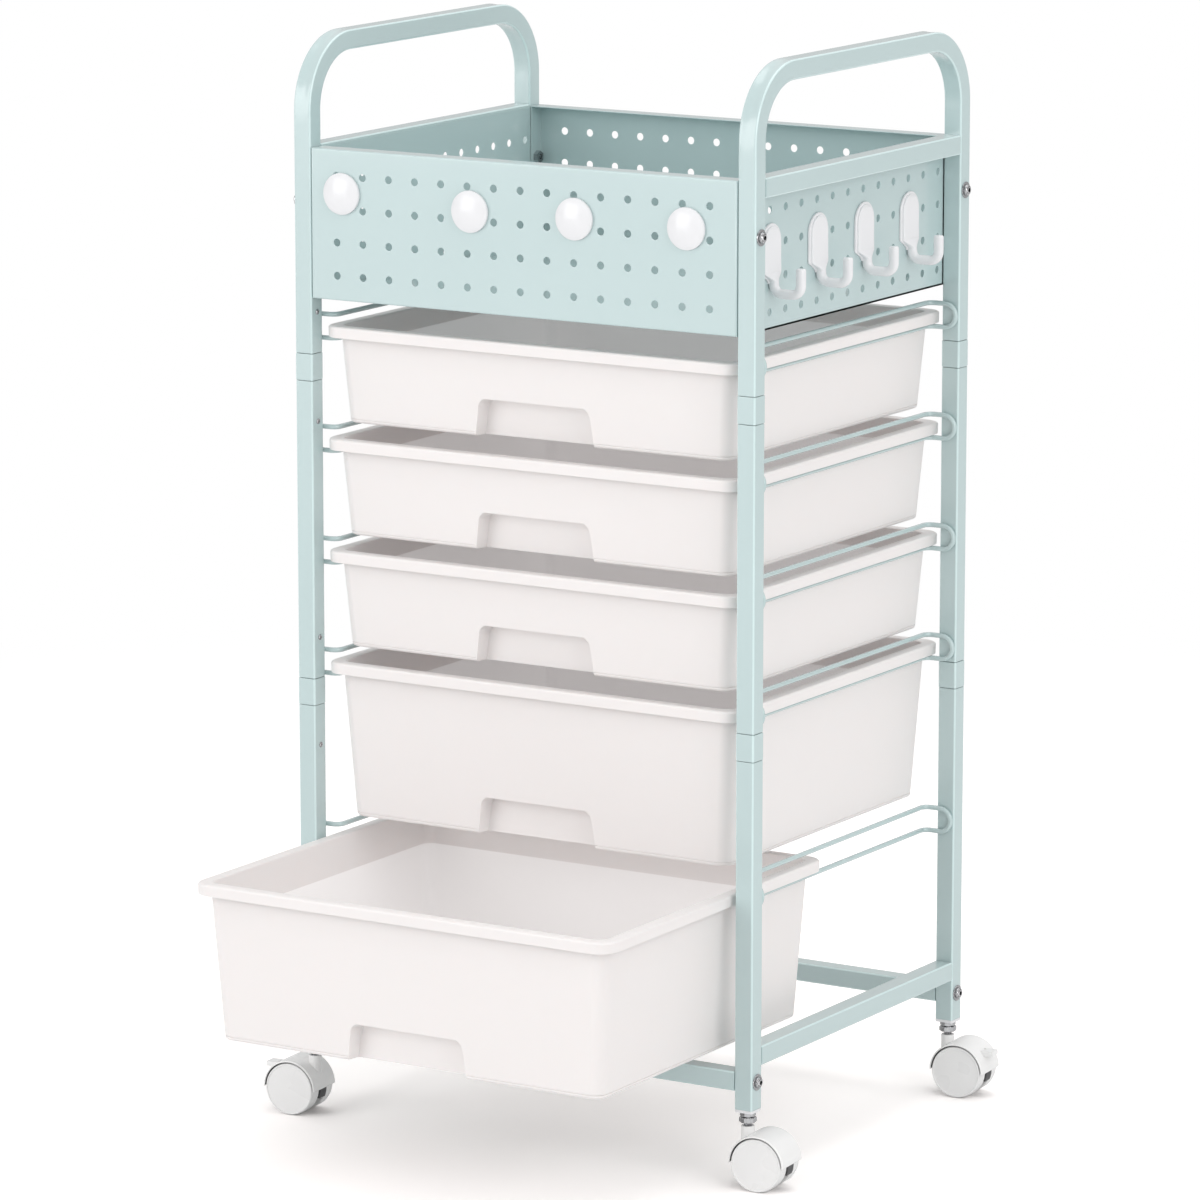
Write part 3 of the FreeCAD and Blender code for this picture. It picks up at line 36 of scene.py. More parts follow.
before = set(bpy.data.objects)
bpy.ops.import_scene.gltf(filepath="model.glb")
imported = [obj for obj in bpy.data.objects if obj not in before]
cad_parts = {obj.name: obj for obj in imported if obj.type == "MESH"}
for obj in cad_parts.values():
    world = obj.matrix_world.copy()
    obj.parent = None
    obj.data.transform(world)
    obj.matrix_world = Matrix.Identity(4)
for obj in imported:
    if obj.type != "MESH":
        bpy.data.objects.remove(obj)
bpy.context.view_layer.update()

SIDES = {"left": -1, "right": 1}
ENDS = {"front": -1, "rear": 1}
CORNERS = [(side, end) for side in SIDES.values() for end in ENDS.values()]
AXIS_X, AXIS_Y, AXIS_Z = Vector((1, 0, 0)), Vector((0, 1, 0)), Vector((0, 0, 1))

# Sizes that several pieces share, read from the frame where a node shows them
post_low, post_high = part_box("front_left_lower_post")
TUBE = post_high.x - post_low.x
POST_X = -(post_low.x + post_high.x) / 2
POST_Y = -(post_low.y + post_high.y) / 2
INNER_X = POST_X - TUBE / 2
OUTER_X = POST_X + TUBE / 2
OUTER_Y = POST_Y + TUBE / 2
TUBE_CORNER = 2.0 * MM
TUBE_END_ROUND = 0.5 * MM

# Welding makes one point of what lies closer than this, and so closes a turned shape at its axis
WELD = 0.001 * MM
ON_AXIS = 0.0001 * MM


# Meshes are collected as a Shape and then made into a piece that rides on a body of the frame

class Shape:
    """Vertices and faces collected before they become a mesh."""

    def __init__(self):
        self.points = []
        self.faces = []
        self.marks = set()

    def ring(self, points):
        start = len(self.points)
        self.points.extend(Vector(point) for point in points)
        return list(range(start, len(self.points)))

    def bridge(self, first, second, closed=True, marked=()):
        count = len(first)
        for index in range(count if closed else count - 1):
            following = (index + 1) % count
            if index in marked:
                self.marks.add(len(self.faces))
            self.faces.append((first[index], first[following], second[following], second[index]))

    def cap(self, ring):
        self.faces.append(tuple(ring))

    def rings(self, rings, closed=True, capped=False, loop=False, marked=()):
        """Joins a row of rings, each a list of points, with caps on both ends or as an endless loop.

        Marked are the faces, by their place round the ring, that get the piece's second material.
        """
        rows = [self.ring(points) for points in rings]
        for first, second in zip(rows, rows[1:]):
            self.bridge(first, second, closed, marked)
        if loop:
            self.bridge(rows[-1], rows[0], closed)
        if capped:
            self.cap(rows[0])
            self.cap(rows[-1])
        return rows

    def add(self, other, matrix):
        start = len(self.points)
        self.marks.update(len(self.faces) + mark for mark in other.marks)
        self.points.extend(matrix @ point for point in other.points)
        self.faces.extend(tuple(start + index for index in face) for face in other.faces)
        return self

    def moved(self, matrix):
        return Shape().add(self, matrix)


def skin(rings, **options):
    shape = Shape()
    shape.rings(rings, **options)
    return shape


def make_mesh(name, shape, sharp):
    """A smooth-shaded mesh, with edges sharper than an angle in degrees kept crisp."""
    mesh = bpy.data.meshes.new(name)
    mesh.from_pydata([tuple(point) for point in shape.points], [], shape.faces)
    for mark in shape.marks:
        mesh.polygons[mark].material_index = 1
    work = bmesh.new()
    work.from_mesh(mesh)
    bmesh.ops.remove_doubles(work, verts=work.verts, dist=WELD)
    bmesh.ops.recalc_face_normals(work, faces=work.faces)
    work.to_mesh(mesh)
    work.free()
    for polygon in mesh.polygons:
        polygon.use_smooth = True
    mesh.set_sharp_from_angle(angle=radians(sharp))
    return mesh


def add_object(name, data):
    thing = bpy.data.objects.new(name, data)
    bpy.context.scene.collection.objects.link(thing)
    return thing


def add_piece(name, shape, material, node=None, body="root", second=None, sharp=38.0):
    """Puts a shape in the scene as a piece that rides on a body and replaces a node of the frame.

    The second material goes on the marked faces.
    """
    piece = add_object(name, make_mesh(name, shape, sharp))
    piece.data.materials.append(material)
    if second:
        piece.data.materials.append(second)
    normals = piece.modifiers.new("weighted_normals", "WEIGHTED_NORMAL")
    normals.keep_sharp = True
    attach(piece, body)
    if node:
        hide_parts(node)


def paint(node, material):
    """Gives a node of the frame that stays in view its material."""
    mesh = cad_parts[node].data
    mesh.materials.clear()
    mesh.materials.append(material)


# Outlines

def between(first, last, steps):
    """Evenly spaced points between two points of a plane, without either of them."""
    shares = [step / steps for step in range(1, steps)]
    return [(first[0] + (last[0] - first[0]) * share, first[1] + (last[1] - first[1]) * share)
            for share in shares]


def quarter(radius, steps):
    """Points of a rounded edge, each by how far it lies inside the two faces that the rounding joins."""
    angles = [pi / 2 * step / steps for step in range(steps + 1)]
    return [(radius * (1 - sin(angle)), radius * (1 - cos(angle))) for angle in angles]


def corner_point(half_w, half_h, radius, corner, angle):
    sx, sy = corner[:2]
    return (sx * (half_w - radius) + radius * cos(angle), sy * (half_h - radius) + radius * sin(angle))


def rounded_rectangle(half_w, half_h, radius, corner_steps, flat_steps=1):
    """Points round a rectangle, counter-clockwise from the lower end of its right side's corner."""
    points = []
    corners = [(1, 1, 0), (-1, 1, 90), (-1, -1, 180), (1, -1, 270)]
    for index, corner in enumerate(corners):
        for step in range(corner_steps + 1):
            angle = radians(corner[2] + 90.0 * step / corner_steps)
            points.append(corner_point(half_w, half_h, radius, corner, angle))
        following = corners[(index + 1) % 4]
        target = corner_point(half_w, half_h, radius, following, radians(following[2]))
        points += between(points[-1], target, flat_steps)
    return points


def circle(radius, steps):
    angles = [2 * pi * step / steps for step in range(steps)]
    return [(radius * cos(angle), radius * sin(angle)) for angle in angles]


def at_level(outline, level):
    return [(x, y, level) for x, y in outline]


def lathe(profile, steps, sweep=2 * pi, start=0.0, capped=False):
    """Turns a profile of (radius, height) pairs round the Z axis."""
    full = sweep == 2 * pi
    angles = [start + sweep * step / steps for step in range(steps if full else steps + 1)]
    return skin([[(radius * cos(angle), radius * sin(angle), height) for angle in angles]
                 for radius, height in profile], closed=full, capped=capped)


def smooth_step(low, high, number):
    share = min(max((number - low) / (high - low), 0.0), 1.0)
    return share * share * (3 - 2 * share)


# Materials

def add_node(tree, kind, inputs=None, **settings):
    """Adds a shader node. Each input that is named gets a constant or another node's output."""
    node = tree.nodes.new("ShaderNode" + kind)
    for name, setting in settings.items():
        setattr(node, name, setting)
    for name, value in (inputs or {}).items():
        if isinstance(value, bpy.types.NodeSocket):
            tree.links.new(value, node.inputs[name])
        else:
            node.inputs[name].default_value = value
    return node


def add_ramp(tree, factor, stops):
    """Colours between stops, each a position and a colour."""
    ramp = add_node(tree, "ValToRGB", {"Fac": factor})
    elements = ramp.color_ramp.elements
    while len(elements) < len(stops):
        elements.new(0.5)
    for element, (position, colour) in zip(elements, stops):
        element.position = position
        element.color = (*colour, 1.0)
    return ramp.outputs["Color"]


def grey(level):
    return (level, level, level)


def add_noise(tree, scale, stretch=(1.0, 1.0, 1.0)):
    """A noise pattern in the object's own coordinates, with a scale in features per metre."""
    place = add_node(tree, "TexCoord")
    mapping = add_node(tree, "Mapping", {"Scale": stretch, "Vector": place.outputs["Object"]})
    noise = add_node(tree, "TexNoise", {"Scale": scale, "Detail": 2.0, "Vector": mapping.outputs["Vector"]})
    return noise.outputs["Fac"]


def vary_colour(tree, shader, scale, colour, share):
    """Lets the base colour drift softly to one that is darker by a share."""
    darkest = darker(colour, share)
    varied = add_ramp(tree, add_noise(tree, scale), [(0.35, colour), (0.65, darkest)])
    tree.links.new(varied, shader.inputs["Base Color"])


def vary_roughness(tree, shader, scale, low, high):
    spread = add_node(tree, "MapRange", {"From Min": 0.3, "From Max": 0.7, "To Min": low, "To Max": high,
                                         "Value": add_noise(tree, scale)})
    tree.links.new(spread.outputs["Result"], shader.inputs["Roughness"])


def add_bump(tree, shader, scale, height, stretch=(1.0, 1.0, 1.0)):
    """Fine relief, with its height in metres."""
    bump = add_node(tree, "Bump", {"Strength": 1.0, "Distance": height,
                                   "Height": add_noise(tree, scale, stretch)})
    tree.links.new(bump.outputs["Normal"], shader.inputs["Normal"])


def paint_reflection_bands(tree, shader):
    """Painted reflections: bright and dark bands by the direction a face looks in, as polished metal shows in
    a studio.
    """
    place = add_node(tree, "TexCoord")
    both_sides = add_node(tree, "VectorMath", {0: place.outputs["Normal"]}, operation="ABSOLUTE")
    facing = add_node(tree, "VectorMath", {0: both_sides.outputs["Vector"], 1: REFLECTION_BAND_DIRECTION},
                      operation="DOT_PRODUCT")
    stops = [(position, grey(level)) for position, level in PAINTED_REFLECTION_BANDS]
    painted_bands = add_ramp(tree, facing.outputs["Value"], stops)
    earlier = shader.inputs["Base Color"].links[0].from_socket
    product = add_node(tree, "Mix", {"Factor": 1.0}, data_type="RGBA", blend_type="MULTIPLY")
    tree.links.new(earlier, product.inputs["A"])
    tree.links.new(painted_bands, product.inputs["B"])
    tree.links.new(product.outputs["Result"], shader.inputs["Base Color"])


def darker(colour, share):
    return tuple(channel * (1 - share) for channel in colour)


def new_material(name, colour, roughness, **constants):
    """A material with its tree and its shader. Underscores in a constant's name stand for spaces."""
    material = bpy.data.materials.new(name)
    material.use_nodes = True
    shader = material.node_tree.nodes["Principled BSDF"]
    shader.inputs["Base Color"].default_value = (*colour, 1.0)
    shader.inputs["Roughness"].default_value = roughness
    for constant, value in constants.items():
        shader.inputs[constant.replace("_", " ")].default_value = value
    return material, material.node_tree, shader


def powder_coat(name, colour):
    """Satin powder coat: a slight orange peel and a soft sheen."""
    material, tree, shader = new_material(name, colour, 0.36, Specular_IOR_Level=0.8, Coat_Weight=1.0,
                                          Coat_Roughness=0.13)
    vary_colour(tree, shader, 5.0, colour, 0.025)
    vary_roughness(tree, shader, 40.0, 0.29, 0.36)
    add_bump(tree, shader, 700.0, 0.012 * MM)
    return material


def moulded_plastic(name, colour, roughness, grain, **constants):
    """Injection-moulded plastic with a faint grain, whose depth is given in metres."""
    material, tree, shader = new_material(name, colour, roughness, **constants)
    vary_colour(tree, shader, 4.0, colour, 0.012)
    vary_roughness(tree, shader, 30.0, roughness - 0.04, roughness + 0.04)
    add_bump(tree, shader, 1100.0, grain)
    return material


def plated_steel(name, colour, roughness, painted_reflections=False):
    """Plated steel with fine turned marks, and with painted reflections, bright and dark bands, where it is
    polished.
    """
    material, tree, shader = new_material(name, colour, roughness, Metallic=1.0)
    vary_colour(tree, shader, 200.0, colour, 0.12)
    vary_roughness(tree, shader, 500.0, roughness - 0.06, roughness + 0.08)
    add_bump(tree, shader, 1600.0, 0.006 * MM, stretch=(1.0, 1.0, 4.0))
    if painted_reflections:
        paint_reflection_bands(tree, shader)
    return material


FRAME_GREEN = (0.482, 0.606, 0.608)
# A lighter green on the middle of each rounded tube corner: a painted highlight where gloss would catch the
# light
HIGHLIGHT_GREEN = (0.64, 0.79, 0.79)
DRAWER_WHITE = (0.836, 0.805, 0.796)
INSIDE_WHITE = (0.865, 0.848, 0.843)
# A faint glow for the drawers' insides: painted light
DRAWER_PAINTED_GLOW = (0.12, 0.117, 0.117, 1.0)
GLOSS_WHITE = (0.81, 0.81, 0.825)
CASTER_WHITE = (0.88, 0.875, 0.87)
# Near-black for the caster core and hood lining: painted shade in the slot and gap round the wheels
CORE_SHADE_GREY = (0.06, 0.06, 0.062)
ZINC = (0.80, 0.80, 0.82)
# Near-black for the heads' hexagon sockets: painted shade in the recess
SOCKET_SHADE_GREY = (0.05, 0.05, 0.052)
# Positions and levels of the painted reflection bands on polished metal, along one direction
REFLECTION_BAND_DIRECTION = (0.75, 0.3, 0.6)
PAINTED_REFLECTION_BANDS = [(0.0, 0.3), (0.3, 0.55), (0.45, 1.0), (0.57, 0.25), (0.66, 0.85), (0.75, 0.42), (0.84, 1.0),
               (0.92, 0.25), (1.0, 0.7)]

frame_paint = powder_coat("frame_paint", FRAME_GREEN)
# Painted highlight: the lighter paint that goes on the tubes' rounded corner strips
frame_painted_highlight = powder_coat("frame_painted_highlight", HIGHLIGHT_GREEN)
panel_paint = powder_coat("panel_paint", FRAME_GREEN)
wire_paint = powder_coat("wire_paint", FRAME_GREEN)
drawer_plastic = moulded_plastic("drawer_plastic", DRAWER_WHITE, 0.40, 0.008 * MM, Subsurface_Weight=0.5,
                                 Subsurface_Radius=(1.0, 0.93, 0.9), Subsurface_Scale=1.5 * MM)
# The inside of a drawer glows faintly: painted light that stands in for the daylight that comes through its
# thin walls
drawer_inside = moulded_plastic("drawer_inside", INSIDE_WHITE, 0.45, 0.008 * MM, Emission_Color=DRAWER_PAINTED_GLOW,
                                Emission_Strength=1.0)
white_gloss = moulded_plastic("white_gloss", GLOSS_WHITE, 0.16, 0.001 * MM)
plug_plastic = moulded_plastic("plug_plastic", GLOSS_WHITE, 0.38, 0.004 * MM)
caster_plastic = moulded_plastic("caster_plastic", CASTER_WHITE, 0.20, 0.002 * MM)
wheel_plastic = moulded_plastic("wheel_plastic", darker(CASTER_WHITE, 0.03), 0.30, 0.003 * MM)
core_painted_shade = moulded_plastic("core_painted_shade", CORE_SHADE_GREY, 0.5, 0.004 * MM)
zinc = plated_steel("zinc", ZINC, 0.2, painted_reflections=True)
socket_painted_shade = plated_steel("socket_painted_shade", SOCKET_SHADE_GREY, 0.4)


# Frame tubes

CORNER_STEPS = 5
RAIL_GAP = 0.35 * MM
RAIL_END_ROUND = 0.8 * MM


def tube_section(inset, flat_steps=1, proud=0.0):
    """Points round the tube, an inset inside its faces. Proud is how far a collar stands out of them."""
    half = TUBE / 2 + proud - inset
    return rounded_rectangle(half, half, max(TUBE_CORNER + proud - inset, 0.3 * MM), CORNER_STEPS, flat_steps)


def highlight_strips(flat_steps=1):
    """The middle faces of a tube section's four rounded corners, by their place round the ring, which get the
    painted highlight.
    """
    per_side = CORNER_STEPS + flat_steps
    return {corner * per_side + step for corner in range(4) for step in range(1, CORNER_STEPS - 1)}


def bar_stations(bottom, top, edge):
    """Pairs of inset and level along a bar whose ends are slightly rounded."""
    return [(edge, bottom), (edge * 0.3, bottom + edge * 0.3), (0.0, bottom + edge),
            (0.0, top - edge), (edge * 0.3, top - edge * 0.3), (edge, top)]


def add_tube(node, start, end, first, second, end_round):
    """A square tube between two points, with its cut ends slightly rounded."""
    start, end = Vector(start), Vector(end)
    along = (end - start).normalized()
    shape = skin([[start + along * place + first * u + second * v for u, v in tube_section(inset)]
                  for inset, place in bar_stations(0.0, (end - start).length, end_round)],
                 capped=True, marked=highlight_strips())
    add_piece(node + "_tube", shape, frame_paint, node, second=frame_painted_highlight)


def middle_height(node):
    low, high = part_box(node)
    return (low.z + high.z) / 2


def build_posts():
    for end_name, end in ENDS.items():
        for side_name, side in SIDES.items():
            for part in ("lower_post", "middle_post"):
                node = "%s_%s_%s" % (end_name, side_name, part)
                low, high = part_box(node)
                x, y = side * POST_X, end * POST_Y
                add_tube(node, (x, y, low.z), (x, y, high.z), AXIS_X, AXIS_Y, TUBE_END_ROUND)


def build_rails():
    for side_name, side in SIDES.items():
        for part in ("top_rail", "base_rail"):
            node = "%s_%s" % (side_name, part)
            low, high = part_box(node)
            x, z = side * POST_X, middle_height(node)
            add_tube(node, (x, low.y + RAIL_GAP, z), (x, high.y - RAIL_GAP, z), AXIS_X, AXIS_Z,
                     RAIL_END_ROUND)
    for end_name, end in ENDS.items():
        node = end_name + "_cross_bar"
        low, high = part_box(node)
        y, z = end * POST_Y, middle_height(node)
        add_tube(node, (low.x + RAIL_GAP, y, z), (high.x - RAIL_GAP, y, z), AXIS_Y, AXIS_Z, RAIL_END_ROUND)


# The tube's outer wall dips where it is bent, and its inner wall a little too
BEND_RADIUS = 62.5 * MM
BEND_STEPS = 24
HANDLE_FLAT_STEPS = 8
LEAD_IN = 30 * MM
LEAD_IN_STEPS = 11
OUTER_DIP = 0.9 * MM
INNER_DIP = 0.5 * MM
DIP_HALF_WIDTH = 7.6 * MM
DIP_BEFORE_BEND = 10 * MM
DIP_RAMP = 22 * MM
ON_FACE = 0.1 * MM


def handle_stations(foot, top):
    """Places along the handle: point in the YZ plane, outward direction, distance into the bend, inset."""
    level = top - TUBE / 2
    bend_start = level - BEND_RADIUS
    bend_length = BEND_RADIUS * pi / 2
    ends = TUBE_END_ROUND
    stations = [((-POST_Y, height), (-1.0, 0.0), -1.0, inset)
                for height, inset in ((foot, ends), (foot + 0.3 * ends, 0.3 * ends), (foot + ends, 0.0))]
    for step in range(LEAD_IN_STEPS):
        height = bend_start - LEAD_IN + LEAD_IN * step / LEAD_IN_STEPS
        stations.append(((-POST_Y, height), (-1.0, 0.0), height - bend_start, 0.0))
    for step in range(BEND_STEPS + 1):
        angle = radians(180.0 - 90.0 * step / BEND_STEPS)
        outward = (cos(angle), sin(angle))
        along = bend_length * step / BEND_STEPS
        place = (-POST_Y + BEND_RADIUS + BEND_RADIUS * outward[0], bend_start + BEND_RADIUS * outward[1])
        stations.append((place, outward, min(along, bend_length - along), 0.0))
    for step in range(1, LEAD_IN_STEPS):
        beyond = LEAD_IN * step / LEAD_IN_STEPS
        stations.append(((-POST_Y + BEND_RADIUS + beyond, level), (0.0, 1.0), -beyond, 0.0))
    mirrored = [((-place[0], place[1]), (-outward[0], outward[1]), into, inset)
                for place, outward, into, inset in reversed(stations)]
    return stations + mirrored


def build_handles():
    for side_name, side in SIDES.items():
        node = side_name + "_handle_frame"
        low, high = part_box(node)
        rings = []
        for place, outward, into_bend, inset in handle_stations(low.z, high.z):
            share = smooth_step(-DIP_BEFORE_BEND, DIP_RAMP, into_bend)
            ring = []
            for u, v in tube_section(inset, HANDLE_FLAT_STEPS):
                hollow = (1 - min(abs(u) / DIP_HALF_WIDTH, 1.0) ** 2) ** 2
                if v > TUBE / 2 - ON_FACE:
                    v -= OUTER_DIP * share * hollow
                elif v < -TUBE / 2 + ON_FACE:
                    v += INNER_DIP * share * hollow
                ring.append((side * POST_X + u, place[0] + outward[0] * v, place[1] + outward[1] * v))
            rings.append(ring)
        shape = skin(rings, capped=True, marked=highlight_strips(HANDLE_FLAT_STEPS))
        add_piece(side_name + "_handle_tube", shape, frame_paint, node, second=frame_painted_highlight)


COLLAR_PROUD = 0.3 * MM
COLLAR_SEAM = 0.4 * MM
COLLAR_INSIDE = 2.0 * MM
SHORT_END_ROUND = 0.6 * MM


def on_posts(stations, proud=0.0, marked=()):
    """The same short square bar at all four posts, from pairs of inset and height."""
    shape = Shape()
    for side, end in CORNERS:
        shape.rings([[(side * POST_X + u, end * POST_Y + v, height)
                      for u, v in tube_section(inset, proud=proud)]
                     for inset, height in stations], capped=True, marked=marked)
    return shape


def build_collars():
    """The collars that show between two lengths of post. Their sleeves are hidden in the tubes."""
    for node, below, above in (("lower_connectors", "front_left_lower_post", "front_left_middle_post"),
                               ("upper_connectors", "front_left_middle_post", "left_handle_frame")):
        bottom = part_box(below)[1].z + COLLAR_SEAM
        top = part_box(above)[0].z - COLLAR_SEAM
        stations = [(COLLAR_INSIDE, bottom)] + bar_stations(bottom, top, SHORT_END_ROUND)
        stations += [(COLLAR_INSIDE, top)]
        add_piece(node + "_collars", on_posts(stations, COLLAR_PROUD, highlight_strips()), frame_paint, node,
                  second=frame_painted_highlight)


PLUG_BOTTOM = 71.8 * MM


def build_plugs():
    """White plugs in the posts' lower ends."""
    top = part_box("front_left_lower_post")[0].z
    stations = bar_stations(PLUG_BOTTOM, top, SHORT_END_ROUND)[:3] + [(0.0, top - 0.1 * MM), (0.1 * MM, top)]
    add_piece("plug_set", on_posts(stations), plug_plastic, "post_plugs")


# Sheet panels with a grid of round holes

HOLE_RADIUS = 3.75 * MM
HOLE_PITCH = 29.35 * MM
ROW_PITCH = 31.8 * MM
HOLE_ROWS = 4
END_COLUMNS = 15
SIDE_COLUMNS = 13
END_TOP_ROW = 925.9 * MM
SIDE_TOP_ROW = 918.0 * MM
SHEET = 1.0 * MM
SHEET_EDGE = 0.25 * MM
HOLE_EDGE = 0.3 * MM
CELL_STEPS = 8
FOLD = 1.6 * MM
INNER_FOLD = FOLD - SHEET
FOLD_STEPS = 5


def rectangle(left, right, bottom, top):
    return [(right, bottom), (right, top), (left, top), (left, bottom)]


def cell_outline():
    """Points round one hole's share of the sheet, evenly spaced on each side."""
    corners = rectangle(-HOLE_PITCH / 2, HOLE_PITCH / 2, -ROW_PITCH / 2, ROW_PITCH / 2)
    points = []
    for corner, following in zip(corners, corners[1:] + corners[:1]):
        points += [corner] + between(corner, following, CELL_STEPS)
    return points


def perforated_sheet(columns, top_row, left, right, bottom, top):
    """A flat sheet in its own axes, from level 0 (its face) back to minus its thickness."""
    shape = Shape()
    outline = cell_outline()
    directions = [(x / hypot(x, y), y / hypot(x, y)) for x, y in outline]
    grid_left = -HOLE_PITCH * columns / 2
    grid_bottom = top_row - ROW_PITCH * (HOLE_ROWS - 0.5)
    front = [(HOLE_EDGE * 1.8, 0.0), (HOLE_EDGE, 0.0), (HOLE_EDGE * 0.3, -HOLE_EDGE * 0.3), (0.0, -HOLE_EDGE)]
    edges = front + [(wider, -SHEET - level) for wider, level in reversed(front)]
    for column in range(columns):
        for row in range(HOLE_ROWS):
            cx = grid_left + HOLE_PITCH * (column + 0.5)
            cy = grid_bottom + ROW_PITCH * (row + 0.5)
            cell = [(cx + x, cy + y) for x, y in outline]
            rings = [at_level(cell, 0.0)]
            for wider, level in edges:
                radius = HOLE_RADIUS + wider
                rings.append([(cx + dx * radius, cy + dy * radius, level) for dx, dy in directions])
            rings.append(at_level(cell, -SHEET))
            shape.rings(rings)
    xs = [grid_left + HOLE_PITCH * step / CELL_STEPS for step in range(columns * CELL_STEPS + 1)]
    ys = [grid_bottom + ROW_PITCH * step / CELL_STEPS for step in range(HOLE_ROWS * CELL_STEPS + 1)]
    strips = [
        [(left, bottom), (right, bottom)] + [(x, ys[0]) for x in reversed(xs)],
        [(right, bottom), (right, top)] + [(xs[-1], y) for y in reversed(ys)],
        [(right, top), (left, top)] + [(x, ys[-1]) for x in xs],
        [(left, top), (left, bottom)] + [(xs[0], y) for y in ys],
    ]
    for level in (0.0, -SHEET):
        for strip in strips:
            shape.cap(shape.ring(at_level(strip, level)))
    return shape


def build_end_panels():
    """The front and back panels: folded trays whose flanges are as deep as the posts."""
    for end_name, end in ENDS.items():
        node = end_name + "_peg_panel"
        low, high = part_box(node)
        half_w = high.x
        middle_z = (low.z + high.z) / 2
        half_h = (high.z - low.z) / 2
        depth = high.y - low.y
        shape = perforated_sheet(END_COLUMNS, END_TOP_ROW - middle_z, -half_w + FOLD, half_w - FOLD,
                                 -half_h + FOLD, half_h - FOLD)
        profile = [(inset, -fall) for inset, fall in quarter(FOLD, FOLD_STEPS)]
        profile += [(0.0, -depth + SHEET_EDGE), (SHEET_EDGE, -depth), (SHEET - SHEET_EDGE, -depth),
                    (SHEET, -depth + SHEET_EDGE)]
        profile += [(SHEET + inset, -SHEET - fall)
                    for inset, fall in reversed(quarter(INNER_FOLD, FOLD_STEPS))]
        shape.rings([at_level(rectangle(inset - half_w, half_w - inset, inset - half_h, half_h - inset),
                              level) for inset, level in profile])
        # The sheet's axes: X across, Y up and Z out of the face
        matrix = Matrix((
            (-end, 0, 0, 0),
            (0, 0, end, end * OUTER_Y),
            (0, 1, 0, middle_z),
            (0, 0, 0, 1),
        ))
        add_piece(node + "_sheet", shape.moved(matrix), panel_paint, node)


def build_side_panels():
    """The side panels: flat sheet with a flange folded inwards at the bottom."""
    for side_name, side in SIDES.items():
        node = side_name + "_peg_panel"
        low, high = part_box(node)
        half_l = high.y
        bottom, top = low.z, high.z
        flange = high.x - low.x
        shape = perforated_sheet(SIDE_COLUMNS, SIDE_TOP_ROW, -half_l, half_l, bottom + FOLD, top)
        fold = [(bottom + FOLD, -SHEET)]
        fold += [(bottom + SHEET + rise, -SHEET - fall) for rise, fall in quarter(INNER_FOLD, FOLD_STEPS)]
        fold += [(bottom + SHEET, -flange), (bottom, -flange)]
        fold += [(bottom + rise, -fall) for rise, fall in reversed(quarter(FOLD, FOLD_STEPS))]
        rows = [shape.ring([(y, height, level) for height, level in fold]) for y in (-half_l, half_l)]
        shape.bridge(rows[0], rows[1], closed=False)
        for row in rows:
            shape.cap(row)
        rim = [shape.ring([(-half_l, top, level), (half_l, top, level)]) for level in (0.0, -SHEET)]
        shape.bridge(rim[0], rim[1], closed=False)
        for y in (-half_l, half_l):
            shape.cap(shape.ring([(y, top, 0.0), (y, bottom + FOLD, 0.0), (y, bottom + FOLD, -SHEET),
                                  (y, top, -SHEET)]))
        # The sheet's axes: X along the cart, Y up and Z out of the face
        matrix = Matrix((
            (0, 0, side, side * INNER_X),
            (side, 0, 0, 0),
            (0, 1, 0, 0),
            (0, 0, 0, 1),
        ))
        add_piece(node + "_sheet", shape.moved(matrix), panel_paint, node)


# Drawers

RIM_CORNER = 18.0 * MM
RIM_ROUND = 1.6 * MM
LIP_HEIGHT = 11.0 * MM
LIP_THICKNESS = 2.0 * MM
LIP_ROUND = 2.2 * MM
WALL_INSET = 10.5 * MM
WALL = 2.0 * MM
WALL_CORNER = 12.8 * MM
BOTTOM_ROUND = 3.0 * MM
# A drawer whose tub is deeper than this is a deep one, with more draft
DEEP = 100.0 * MM
DEEP_DRAFT = 8.4 * MM
SHALLOW_DRAFT = 6.0 * MM
GRIP_TOP = 60.0 * MM
GRIP_BOTTOM = 65.0 * MM
GRIP_HEIGHT = 35.5 * MM
GRIP_DEPTH = 15.0 * MM
GRIP_CORNER = 8.0 * MM
GRIP_EDGE = 1.0 * MM
# Heights and depths of the groove over the lower edge, and places of the close points and rings at the
# finger recess's edges, all in millimetres
FOOT_GROOVE = [(3.6, 0.0), (3.8, 0.7), (4.3, 0.7), (4.5, 0.0)]
GRIP_COLUMNS = [-14, -11, -8, -6, -4.5, -3, -2, -1.4, -0.9, -0.45, 0, 0.45, 0.9, 1.4, 2, 3, 4.5, 7, 11]
GRIP_ROWS = [-14, -11, -8.5, -6.5, -5, -3.6, -2.5, -1.7, -1.1, -0.55, 0, 0.55, 1.1, 1.7, 2.5, 4, 6.5]
LOWER_ROWS = [8, 12, 15.5]
LOOP_STEPS = 8
OUTER_STEPS = 6


def grip_half_width(height):
    return GRIP_BOTTOM - (GRIP_BOTTOM - GRIP_TOP) * min(height / GRIP_HEIGHT, 1.0)


def grip_share(x, height, margin):
    """How far a point of the front wall is pushed in: 1 inside the finger recess and 0 outside."""
    radius = GRIP_CORNER + margin
    dx = abs(x) - (grip_half_width(height) + margin - radius)
    dz = height - (GRIP_HEIGHT + margin - radius)
    distance = hypot(dx, dz) if dx > 0 and dz > 0 else max(dx, dz)
    return 1 - smooth_step(-GRIP_EDGE, GRIP_EDGE, distance - radius)


